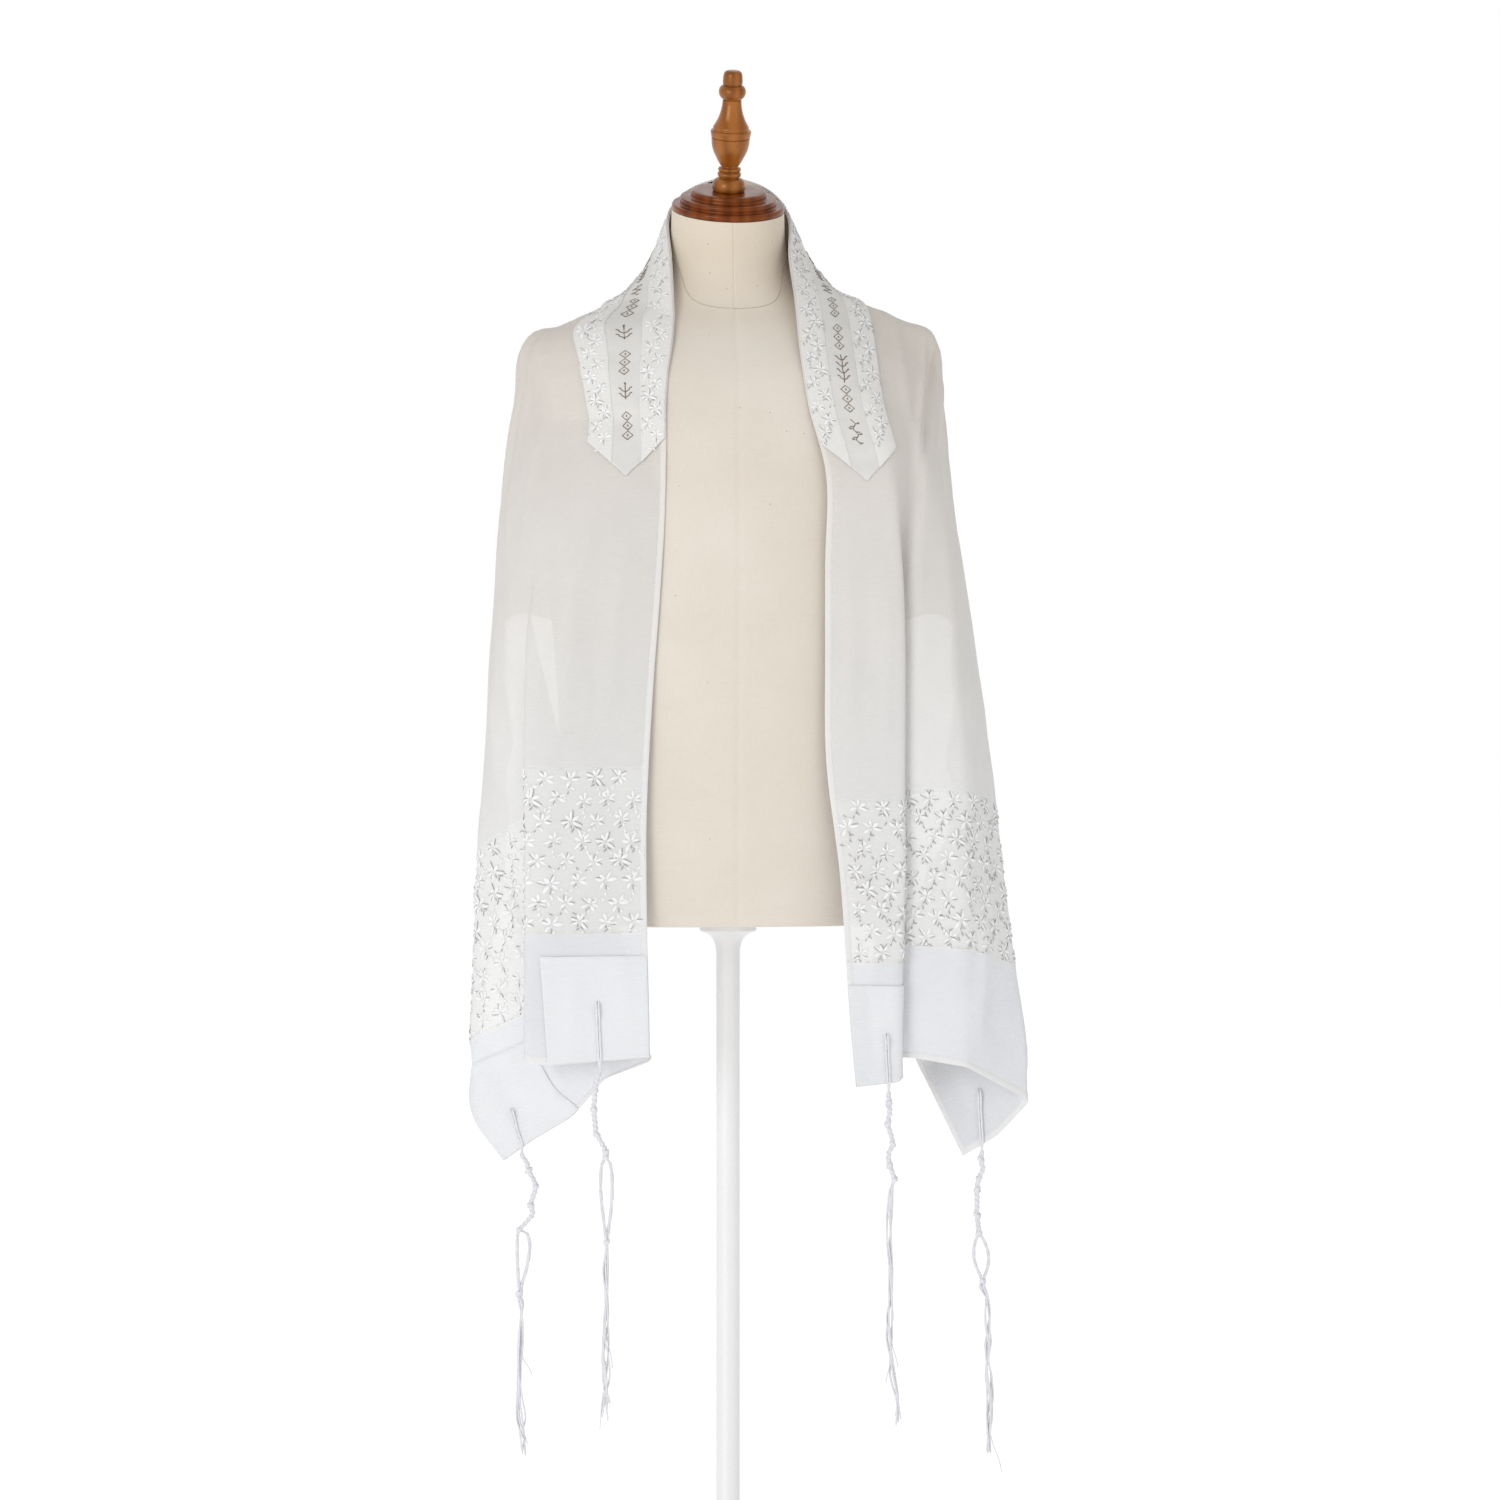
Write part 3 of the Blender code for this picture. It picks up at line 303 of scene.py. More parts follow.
# creases, listed one by one: side, points (u, v), half width, height (below zero a trough), in millimetres
creases = [
    # viewer's left: pulls off the neckband's point and the shoulder
    (-1, [(120, 110), (210, 150), (320, 205), (430, 235)], 15, 3.2),
    (-1, [(150, 96), (260, 118), (380, 128)], 11, 2.2),
    (-1, [(250, 190), (370, 222), (520, 250)], 17, 3.4),
    (-1, [(205, 240), (330, 268), (470, 290), (610, 300)], 15, 4.0),
    (-1, [(300, 300), (440, 322), (600, 330)], 14, -3.2),
    (-1, [(420, 70), (560, 92), (700, 84)], 15, 1.7),
    (-1, [(440, 35), (570, 44), (690, 38)], 9, 1.1),
    (-1, [(470, 108), (600, 100), (680, 104)], 9, -1.4),
    (-1, [(560, 250), (660, 262), (790, 275)], 12, 3.6),
    (-1, [(620, 300), (720, 318), (850, 318)], 15, 4.2),
    (-1, [(690, 352), (800, 362), (930, 352)], 13, 3.4),
    (-1, [(770, 300), (880, 300), (960, 296)], 12, -3.0),
    (-1, [(880, 20), (940, 26), (1000, 22)], 10, 0.8),
    (-1, [(925, 70), (1000, 76)], 9, 0.9),
    (-1, [(905, 330), (960, 352), (1005, 372)], 14, 3.0),
    (-1, [(855, 395), (930, 404), (1000, 412)], 12, -2.4),
    (-1, [(250, 96), (360, 112), (470, 108), (560, 118)], 8, -2.0),
    (-1, [(300, 140), (420, 158), (560, 162)], 7, 1.6),
    (-1, [(330, 60), (430, 78), (540, 74)], 7, 1.3),
    (-1, [(240, 150), (330, 186), (420, 198), (520, 186)], 8, 2.6),
    (-1, [(560, 118), (640, 112), (715, 116)], 6, 1.5),
    (-1, [(600, 64), (655, 58), (712, 62)], 6, -1.2),
    # viewer's right: the fold runs up to the shoulder
    (1, [(232, 152), (283, 150), (346, 134), (412, 108), (470, 96)], 6, 4.6),
    (1, [(225, 170), (283, 163), (346, 147), (405, 124)], 5, -3.2),
    (1, [(236, 186), (300, 180), (370, 164), (440, 152)], 9, 3.0),
    (1, [(300, 86), (370, 72), (450, 58), (540, 52)], 8, -2.2),
    (1, [(330, 104), (400, 92), (480, 78)], 7, 2.0),
    (1, [(500, 66), (610, 60), (715, 66)], 5, 1.3),
    (1, [(560, 40), (640, 36), (705, 40)], 4.5, -0.9),
    (1, [(520, 20), (590, 26), (680, 22)], 5, 0.9),
    (1, [(120, 112), (215, 150), (330, 196), (440, 214)], 14, 3.0),
    (1, [(155, 98), (280, 116), (400, 122)], 10, 2.0),
    (1, [(240, 200), (360, 238), (500, 262)], 16, 3.4),
    (1, [(190, 250), (330, 280), (480, 296), (620, 300)], 15, 3.8),
    (1, [(330, 320), (480, 330), (640, 336)], 15, -3.4),
    (1, [(440, 20), (560, 26), (680, 22)], 8, 1.0),
    (1, [(455, 55), (600, 62), (740, 58)], 10, 1.6),
    (1, [(500, 40), (640, 44)], 7, -1.0),
    (1, [(560, 215), (690, 232), (840, 236)], 14, 3.2),
    (1, [(640, 262), (780, 270), (930, 262)], 13, -2.8),
    (1, [(700, 190), (830, 200), (1000, 204)], 12, 2.6),
    (1, [(860, 232), (950, 240), (1040, 250)], 15, 3.2),
    (1, [(900, 300), (970, 318), (1040, 330)], 13, 2.6),
    (1, [(930, 20), (1000, 24), (1040, 28)], 9, -1.0),
    (1, [(905, 52), (990, 50)], 8, 1.1),
    # across the nape and down the back
    (-1, [(0, 150), (60, 156), (130, 180)], 14, 3.4),
    (1, [(0, 150), (70, 160), (140, 190)], 14, 3.4),
    (-1, [(0, 235), (90, 250), (190, 292)], 18, 4.4),
    (1, [(0, 235), (80, 246), (200, 300)], 18, 4.4),
    (-1, [(20, 300), (60, 372), (75, 450)], 20, 4.6),
    (1, [(35, 292), (80, 380), (90, 452)], 19, 4.2),
    (-1, [(120, 320), (170, 390), (195, 452)], 17, -3.6),
    (1, [(128, 312), (172, 384), (190, 452)], 17, -3.4),
    (-1, [(230, 330), (285, 392), (320, 450)], 15, 3.4),
    (1, [(236, 336), (300, 396), (345, 450)], 15, 3.6),
]


def distanceTo(line, u, v):
    best = np.full(u.shape, 1e9)
    place = np.zeros(u.shape)
    lengths = [math.dist(a, b) for a, b in zip(line, line[1:])]
    total, run = sum(lengths), 0.0
    for (a, b), length in zip(zip(line, line[1:]), lengths):
        du, dv = b[0] - a[0], b[1] - a[1]
        t = np.clip(((u - a[0]) * du + (v - a[1]) * dv) / length**2, 0, 1)
        d = np.hypot(u - a[0] - t * du, v - a[1] - t * dv)
        near = d < best
        best = np.where(near, d, best)
        place = np.where(near, (run + t * length) / total, place)
        run += length
    return best, place


def creaseHeight(u, v):
    out = np.zeros(u.shape)
    calm = 1 - 0.4 * smooth(330, 440, np.abs(u)) * (1 - smooth(900, 960, np.abs(u)))
    for side, line, wide, high in creases:
        rim = line[0][0] < 1
        mine = (np.sign(u) == side) | (rim & (np.abs(u) < 1))
        d, t = distanceTo(line, np.abs(u), v)
        taper = (1.0 if rim else smooth(0, 0.28, t)) * (1 - smooth(0.72, 1.0, t))
        grow = wide * (0.6 + 0.4 * t)
        out += np.where(mine, 1.25 * high * calm * taper * np.exp(-((d / grow) ** 1.7)), 0.0)
    slack = smooth(90, 130, v) + smooth(440, 520, np.abs(u)) * (1 - smooth(90, 130, v))
    ripple = (0.35 * np.sin(v / 7.3 + 0.9 * np.sin(u / 83.0)) * np.sin(u / 61.0 + v / 39.0)
              + 0.25 * np.sin(u / 23.0 + 1.3 * np.sin(v / 31.0)) * np.sin(v / 17.0 + u / 140.0))
    return out * np.clip(slack, 0, 1) + ripple * np.clip(slack, 0, 1)


class Surface:
    def __init__(self):
        n = int(round((shawl["leftHalf"] + shawl["rightHalf"]) / shawl["rowStep"])) + 1
        self.us = np.linspace(-shawl["leftHalf"], shawl["rightHalf"], n)
        self.vs = np.linspace(0, shawl["width"], shawl["columns"])
        rows = {}
        for d in (-3.0, 0.0, 3.0):
            part = []
            for u in self.us:
                at = u + d
                side = -1 if at < 0 else 1
                part.append(along(side, abs(at), self.vs) + swing(side, abs(at), self.vs))
            rows[d] = clearOfForm(np.array(part), shawl["gap"])
        self.points = rows[0.0]
        self.normals = self.unit(np.cross(rows[3.0] - rows[-3.0], np.gradient(rows[0.0], axis=1)))
        uu, vv = np.meshgrid(self.us, self.vs, indexing="ij")
        self.points = self.points + self.normals * creaseHeight(uu, vv)[:, :, None]
        self.points = clearOfForm(self.points, shawl["gap"] - 2.0)
        self.normals = self.unit(np.cross(np.gradient(self.points, axis=0), np.gradient(self.points, axis=1)))

    def unit(self, n):
        return n / np.maximum(np.linalg.norm(n, axis=-1, keepdims=True), 1e-9)

    def at(self, u, v, h=0.0):
        u, v, h = np.broadcast_arrays(np.asarray(u, float), np.asarray(v, float), np.asarray(h, float))
        fu = (u - self.us[0]) / (self.us[1] - self.us[0])
        fv = (v - self.vs[0]) / (self.vs[1] - self.vs[0])
        i = np.clip(np.floor(fu).astype(int), 0, len(self.us) - 2)
        j = np.clip(np.floor(fv).astype(int), 0, len(self.vs) - 2)
        s, t = (fu - i)[..., None], (fv - j)[..., None]

        def mix(a):
            return (a[i, j] * (1 - s) * (1 - t) + a[i + 1, j] * s * (1 - t)
                    + a[i, j + 1] * (1 - s) * t + a[i + 1, j + 1] * s * t)

        return mix(self.points) + self.unit(mix(self.normals)) * h[..., None]


cloth = Surface()
print("cloth surface laid out")


# finishes
def fill(tree, node, inputs):
    for key, value in inputs.items():
        if isinstance(value, bpy.types.NodeSocket):
            tree.links.new(value, node.inputs[key])
        elif value is not None:
            node.inputs[key].default_value = value


def addNode(tree, kind, inputs=None, **settings):
    node = tree.nodes.new(kind)
    for key, value in settings.items():
        setattr(node, key, value)
    fill(tree, node, inputs or {})
    return node


class Finish:
    def __init__(self, name):
        self.mat = bpy.data.materials.new(name)
        self.mat.use_nodes = True
        self.tree = self.mat.node_tree
        self.tree.nodes.clear()
        self.shader = self.add("BsdfPrincipled")
        self.out = self.add("OutputMaterial", {0: self.shader.outputs[0]})

    def add(self, kind, inputs=None, **settings):
        return addNode(self.tree, "ShaderNode" + kind, inputs, **settings)

    def place(self, kind):   # a piece's own UV in metres, or its object position
        if kind == "UV":
            return self.add("UVMap", uv_map="flat").outputs[0]
        return self.add("TexCoord").outputs["Object"]

    def stretch(self, place, scale):
        return self.add("Mapping", {"Vector": place, "Scale": scale}).outputs[0]

    def noise(self, place, scale, detail=2.0, rough=0.5):
        values = {"Vector": place, "Scale": scale, "Detail": detail, "Roughness": rough}
        return self.add("TexNoise", values).outputs[0]

    def wave(self, place, way, scale, distortion, detail=2.0, detailScale=1.0):
        return self.add("TexWave", {"Vector": place, "Scale": scale, "Distortion": distortion, "Detail": detail,
                                    "Detail Scale": detailScale}, bands_direction=way).outputs["Fac"]

    def ramp(self, value, *stops):
        node = self.add("ValToRGB", {"Fac": value})
        while len(node.color_ramp.elements) < len(stops):
            node.color_ramp.elements.new(0.5)
        for element, (at, colour) in zip(node.color_ramp.elements, stops):
            element.position = at
            element.color = (*(colour if isinstance(colour, tuple) else (colour,) * 3), 1)
        return node.outputs["Color"]

    def sum(self, what, a, b):
        return self.add("Math", {0: a, 1: b}, operation=what).outputs[0]

    def blend(self, a, share, b):
        return self.sum("ADD", self.sum("MULTIPLY", a, share), self.sum("MULTIPLY", b, 1 - share))

    def mix(self, share, colour, other, how="MIX"):
        values = {0: share, 6: colour, 7: (*other, 1)}
        return self.add("Mix", values, data_type="RGBA", blend_type=how).outputs[2]

    def tinted(self, colour, tint, low, high):   # by the tint, growing between two heights
        height = self.add("SeparateXYZ", {0: self.place("Object")}).outputs[2]
        return self.mix(self.add("MapRange", {0: height, 1: low, 2: high}).outputs[0], colour, tint, "MULTIPLY")

    def bump(self, height, strength, distance, under=None):
        return self.add("Bump", {"Height": height, "Strength": strength, "Distance": distance,
                                 "Normal": under}).outputs[0]

    def done(self, inputs):
        fill(self.tree, self.shader, inputs)
        return self.mat


oneBand = 0.314   # a wave texture's scale for one band in a metre
voileLook = {"colour": (0.815, 0.813, 0.805), "shade": (0.78, 0.775, 0.77), "thread": 0.00042,
             "warm": (0.955, 0.893, 0.82), "warmSpan": (0.92, 1.42)}   # the form shows through the lying cloth


def voile(name, alpha, through, shift=(1, 1, 1), warm=True):
    f = Finish(name)
    place = f.place("UV")
    tone = f.blend(f.noise(f.stretch(place, (1, 22, 1)), 55, 3), 0.5, f.noise(place, 14, 4, 0.6))
    dark, light = (tuple(a * b for a, b in zip(voileLook[key], shift)) for key in ("shade", "colour"))
    colour = f.ramp(tone, (0.36, dark), (0.62, light))
    if warm:
        colour = f.tinted(colour, voileLook["warm"], *voileLook["warmSpan"])
    crepe = f.noise(f.stretch(place, (1, 3.2, 1)), 130, 3, 0.6)
    pitch = oneBand / voileLook["thread"]
    weave = f.sum("MAXIMUM", *(f.wave(place, way, pitch, 0.35, 1.0, 2.0) for way in "XY"))
    normal = f.bump(weave, 0.3, 0.0002, f.bump(crepe, 0.35, 0.0012))
    back = f.add("BsdfTranslucent", {"Color": colour, "Normal": normal}).outputs[0]
    veil = f.add("MixShader", {0: alpha, 1: f.add("BsdfTransparent").outputs[0], 2: back}).outputs[0]
    both = f.add("MixShader", {0: through, 1: f.shader.outputs[0], 2: veil}).outputs[0]
    fill(f.tree, f.out, {0: both})
    return f.done({"Base Color": colour, "Normal": normal, "Roughness": 0.72, "Sheen Weight": 0.12,
                   "Sheen Roughness": 0.4, "Specular IOR Level": 0.25, "Alpha": alpha})


satinLook = {"colour": (0.73, 0.715, 0.69), "shade": (0.65, 0.635, 0.61)}


def satin(name):
    f = Finish(name)
    place = f.place("UV")
    clouds = f.noise(place, 26, 3, 0.55)
    normal = f.bump(f.wave(place, "Y", 900.0, 1.5), 0.15, 0.0001, f.bump(clouds, 0.25, 0.0025))
    return f.done({"Base Color": f.ramp(clouds, (0.3, satinLook["shade"]), (0.7, satinLook["colour"])),
                   "Normal": normal, "Roughness": f.ramp(clouds, (0.2, 0.34), (0.8, 0.46)),
                   "Sheen Weight": 0.1, "Anisotropic": 0.5})


def thread(name, light, dark, roughness, metal=0.0):   # silky, fine ply lines along UV x
    f = Finish(name)
    ply = f.wave(f.place("UV"), "DIAGONAL", oneBand / 0.0005, 1.2)
    tone = f.blend(ply, 0.45, f.noise(f.place("Object"), 240))
    return f.done({"Base Color": f.ramp(tone, (0.25, dark), (0.65, light)), "Normal": f.bump(ply, 0.4, 0.00015),
                   "Roughness": roughness, "Metallic": metal, "Sheen Weight": 0.15})


linenLook = {"colour": (0.755, 0.695, 0.615), "shade": (0.70, 0.635, 0.55), "speck": (0.22, 0.17, 0.11),
             "neckTint": (0.97, 0.93, 0.865), "neckTintSpan": (1.38, 1.48)}   # yellower towards the neck


def linen(name):
    f = Finish(name)
    place = f.place("Object")
    across, down = (f.noise(f.stretch(place, scale), 90, 3) for scale in ((1, 1, 14), (14, 14, 1)))
    tone = f.blend(f.noise(place, 9, 3), 0.45, f.blend(across, 0.5, down))
    colour = f.tinted(f.ramp(tone, (0.38, linenLook["shade"]), (0.62, linenLook["colour"])),
                      linenLook["neckTint"], *linenLook["neckTintSpan"])
    cells = f.add("TexVoronoi", {"Vector": place, "Scale": 62.0}).outputs
    some = f.sum("GREATER_THAN", f.add("SeparateColor", {0: cells["Color"]}).outputs[0], 0.62)
    speck = f.sum("MULTIPLY", f.sum("MULTIPLY", f.sum("LESS_THAN", cells["Distance"], 0.045), some), 0.6)
    return f.done({"Base Color": f.mix(speck, colour, linenLook["speck"]),
                   "Roughness": 0.88, "Sheen Weight": 0.1,
                   "Normal": f.bump(f.sum("ADD", across, down), 0.25, 0.0004)})


def wood(name, light, dark, streak, gloss, coat, shine):
    f = Finish(name)
    place = f.stretch(f.place("Object"), (1, 1, 0.12))
    grain = f.noise(place, 60, 3)
    pores = f.noise(f.stretch(f.place("Object"), (1, 1, 0.05)), 700)
    tone = f.blend(grain, 0.62, f.wave(place, "X", 22.0, 5.0, 2.0, 1.4))
    return f.done({"Base Color": f.ramp(tone, (0.3, dark), (0.5, streak), (0.72, light)),
                   "Normal": f.bump(pores, 0.12, 0.0003),
                   "Roughness": f.ramp(grain, (0.3, gloss + 0.1), (0.7, gloss)),
                   "Coat Weight": coat, "Coat Roughness": 0.16, "Specular IOR Level": shine,
                   "Specular Tint": (1.0, 0.64, 0.36, 1)})


def paint(name, colour):
    f = Finish(name)
    place = f.place("Object")
    fleck = f.noise(place, 420)
    return f.done({"Base Color": f.ramp(fleck, (0.3, tuple(c * 0.97 for c in colour)), (0.7, colour)),
                   "Normal": f.bump(fleck, 0.1, 0.0003),
                   "Roughness": f.ramp(f.noise(place, 30, 3), (0.3, 0.36), (0.7, 0.44))})


looks = {
    "voile": voile("sheerVoile", 0.92, 0.08),
    "laceGround": voile("laceGround", 0.90, 0.08, (1.055, 1.06, 1.06)),
    "endVoile": voile("endVoile", 0.95, 0.09, (0.995, 1.01, 1.05)),
    "hem": voile("foldedHem", 1.0, 0.03, (1.015, 1.015, 1.02)),
    "patch": voile("patchCotton", 1.0, 0.03, (1.0, 1.015, 1.05), False),
    "strip": voile("stripGround", 1.0, 0.03, (1.0, 0.985, 0.955), False),
    "satin": satin("neckSatin"),
    "whiteThread": thread("whiteSilk", (0.92, 0.92, 0.92), (0.82, 0.82, 0.82), 0.3),
    # grey thread: silver stitches, and painted shade beside the lace petals
    "silverThread": thread("silverSilk", (0.53, 0.52, 0.51), (0.31, 0.305, 0.30), 0.3),
    "bronzeThread": thread("bronzeThread", (0.30, 0.25, 0.19), (0.12, 0.095, 0.07), 0.35, 0.35),
    "seamThread": thread("seamThread", (0.50, 0.42, 0.32), (0.40, 0.33, 0.24), 0.6),
    "wool": thread("tasselWool", (0.84, 0.84, 0.87), (0.68, 0.68, 0.72), 0.7),
    "linen": linen("formLinen"),
    "darkWood": wood("redWood", (0.20, 0.045, 0.006), (0.115, 0.020, 0.002), (0.165, 0.033, 0.004),
                     0.2, 0.03, 0.45),
    "lightWood": wood("honeyWood", (0.34, 0.112, 0.019), (0.20, 0.056, 0.006), (0.275, 0.084, 0.012),
                      0.24, 0.05, 0.8),
    "steel": paint("whitePaint", (0.86, 0.86, 0.86)),
    "label": paint("navyLabel", (0.02, 0.03, 0.09)),
}
print("finishes made")


# mesh helpers; points in millimetres
def piece(name, verts, faces, mat, uv, smoothAngle):
    mesh = bpy.data.meshes.new(name)
    mesh.from_pydata((np.asarray(verts, float).reshape(-1, 3) * mm).tolist(), [], faces)
    loops = np.empty(len(mesh.loops), dtype=np.int32)
    mesh.loops.foreach_get("vertex_index", loops)
    mesh.uv_layers.new(name="flat").data.foreach_set("uv", np.asarray(uv, float)[loops].ravel())
    mesh.materials.append(mat)
    mesh.update()
    shade(mesh, smoothAngle)
    return addObject(name, mesh)


def shade(mesh, angle):
    mesh.shade_smooth()
    mesh.set_sharp_from_angle(angle=math.radians(angle))


def outward(obj):
    bm = bmesh.new()
    bm.from_mesh(obj.data)
    bmesh.ops.recalc_face_normals(bm, faces=bm.faces)
    bm.to_mesh(obj.data)
    bm.free()
    obj.data.update()
    return obj


def settle(obj, slot, *nodes):   # puts the piece on the root body and hides the solids it stands for; the finish slot is not used
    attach(obj, "root")
    if nodes:
        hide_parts(*nodes)
    return obj


def gridFaces(nu, nv, start=0, flip=False, closed=False):
    out = []
    for i in range(nu - 1):
        for j in range(nv if closed else nv - 1):
            a, b = start + i * nv + j, start + i * nv + (j + 1) % nv
            out.append((a + nv, b + nv, b, a) if flip else (a, b, b + nv, a + nv))
    return out


def tubeFaces(rings, count):   # capped at both ends
    last = (rings - 1) * count
    return gridFaces(rings, count, closed=True) + [tuple(range(count))[::-1], tuple(range(last, last + count))]


def flatUv(us, vs):
    return np.stack([np.asarray(vs, float).ravel() * mm, np.asarray(us, float).ravel() * mm], axis=1)


def openSheet(name, rows, cols, mat):
    uu, vv = np.meshgrid(rows, cols, indexing="ij")
    return piece(name, cloth.at(uu, vv), gridFaces(len(rows), len(cols)), mat, flatUv(uu, vv), 75.0)


def slab(name, rows, colsOf, low, high, mat, edge=1.3):   # closed strip on the shawl, its rims rounded over
    vv = np.array([colsOf(u) for u in rows])
    uu = np.array([np.full(vv.shape[1], float(u)) for u in rows])
    step = np.minimum(np.abs(vv - vv[:, :1]), np.abs(vv - vv[:, -1:]))
    ends = np.minimum(np.abs(uu - rows[0]), np.abs(uu - rows[-1]))
    rim = smooth(0, edge, np.minimum(step, ends))
    top = low + (high - low) * (0.55 + 0.45 * rim)
    k = uu.size
    grid = np.arange(k).reshape(uu.shape)
    border = np.concatenate([grid[:-1, 0], grid[-1, :-1], grid[:0:-1, -1], grid[0, :0:-1]]).tolist()
    faces = gridFaces(*uu.shape) + gridFaces(*uu.shape, k, True)
    faces += [(a, b, b + k, a + k) for a, b in zip(border, border[1:] + border[:1])]
    uv = np.tile(flatUv(uu, vv), (2, 1))
    return piece(name, [cloth.at(uu, vv, top), cloth.at(uu, vv, low)], faces, mat, uv, 60.0)


# a folded edge: cross is a ring of (along, off the sheet), path gives u and v for each along
def rolled(name, path, cross, mat):
    rings, uvs = [], []
    for n, spot in enumerate(path):
        puff = 1 + 0.10 * math.sin(n * 1.7) + 0.07 * math.sin(n * 0.61 + 1)
        u, v = zip(*[spot(c[0]) for c in cross])
        rings.append(cloth.at(u, v, np.array([c[1] for c in cross]) * puff))
        uvs.append(flatUv(u, v))
    return outward(piece(name, rings, tubeFaces(len(rings), len(cross)), mat, np.concatenate(uvs), 75.0))


def lathe(name, profile, count, place, mat):
    turns = [2 * math.pi * i / count for i in range(count)]
    verts = [place((r * math.cos(w), r * math.sin(w), h)) for r, h in profile for w in turns]
    uv = [(w * r * mm, h * mm) for r, h in profile for w in turns]
    return piece(name, verts, tubeFaces(len(profile), count), mat, uv, 38.0)


def refine(profile, steps=3, limit=32.0):   # rounds gentle bends of a turned profile, keeps its sharp edges
    p = [np.array(q, float) for q in profile]

    def bend(i):
        if i <= 0 or i >= len(p) - 1:
            return 180.0
        a, b = p[i] - p[i - 1], p[i + 1] - p[i]
        return math.degrees(abs(math.atan2(a[0] * b[1] - a[1] * b[0], a @ b)))

    out = []
    for i in range(len(p) - 1):
        before = p[i - 1] if bend(i) < limit else p[i] * 2 - p[i + 1]
        after = p[i + 2] if i + 2 < len(p) and bend(i + 1) < limit else p[i + 1] * 2 - p[i]
        for t in np.arange(steps) / steps:
            out.append(0.5 * (2 * p[i] + (p[i + 1] - before) * t
                              + (2 * before - 5 * p[i] + 4 * p[i + 1] - after) * t**2
                              + (3 * p[i] - before - 3 * p[i + 1] + after) * t**3))
    return out + [p[-1]]


# dress form
formCover = {"around": 120, "rise": 9.0, "seam": 0.55, "puff": 0.18, "seamAt": (270.0, 90.0, 180.0, 0.0)}


def leaned(x, y, h, ring):   # a point in a ring's own plane, h above it
    tilt = math.radians(ring[4])
    x, outY = turned(x, y * math.cos(tilt) - h * math.sin(tilt))
    return x, ring[3] + outY, ring[0] + y * math.sin(tilt) + h * math.cos(tilt)


def formPoint(z, degrees, push=0.0):
    ring = between(formRows[:, 0], formRows, formSlopes, z)
    p, w = float(formPower(np.array(z))), math.radians(degrees)
    x, y = ((half + push) * math.copysign(abs(c) ** (2 / p), c)
            for half, c in zip(ring[1:3], (math.cos(w), math.sin(w))))
    return leaned(x, y, 0, ring)


def makeForm():
    seams = formCover["seamAt"]
    angles = sorted({*np.linspace(0, 360, formCover["around"], endpoint=False),
                     *((s + d) % 360 for s in seams for d in (-1.2, -0.75, -0.4, 0.0, 0.4, 0.75, 1.2))})
    lowest, highest = formRings[0][0], formRings[-1][0]
    heights = [lowest, *np.linspace(lowest + 1.5, highest, int((highest - lowest) / formCover["rise"]))]
    verts = []
    for z in heights:
        edge = -1.5 if z == lowest else 0.0
        for w in angles:
            off = min(abs((w - s + 180) % 360 - 180) for s in seams)
            groove, puff = math.exp(-((off / 0.45) ** 2)), math.exp(-(((off - 1.0) / 0.5) ** 2))
            verts.append(formPoint(z, w, -formCover["seam"] * groove + formCover["puff"] * puff + edge))
    uv = [(w * 0.0018, z * mm) for z in heights for w in angles]
    return piece("formCover", verts, tubeFaces(len(heights), len(angles)), looks["linen"], uv, 50.0)


form = settle(makeForm(), "linen", "form_torso")

# seam where the neck joins the shoulders: low in front, higher at the sides and behind
neckSeam = {"low": 1427.0, "rise": 58.0, "turn": 75.0, "radius": 0.5, "count": 120, "around": 6}


def makeNeckSeam():
    count, around = neckSeam["count"], neckSeam["around"]
    places, verts = [], []
    for i in range(count):
        w = 360.0 * i / count
        z = neckSeam["low"] + neckSeam["rise"] * float(smooth(0, neckSeam["turn"], abs((w - 90) % 360 - 180)))
        place, pushed = np.array(formPoint(z, w)), np.array(formPoint(z, w, 1.0))
        places.append((place, (pushed - place) / np.linalg.norm(pushed - place)))
    for i, (place, normal) in enumerate(places):
        ahead = places[(i + 1) % count][0] - places[i - 1][0]
        up = np.cross(ahead / np.linalg.norm(ahead), normal)
        for w in np.arange(around) * 2 * math.pi / around:
            verts.append(place + neckSeam["radius"] * (math.cos(w) * normal * 0.7 + math.sin(w) * up))
    faces = [tuple(v % len(verts) for v in face) for face in gridFaces(count + 1, around, closed=True)]
    uv = [(i * 0.003, 0) for i in range(len(verts))]
    return outward(piece("formNeckSeam", verts, faces, looks["seamThread"], uv, 80))


settle(makeNeckSeam(), "linen")


def onNeck(lift):
    return lambda p: leaned(p[0], p[1], p[2] + lift, formRings[-1])


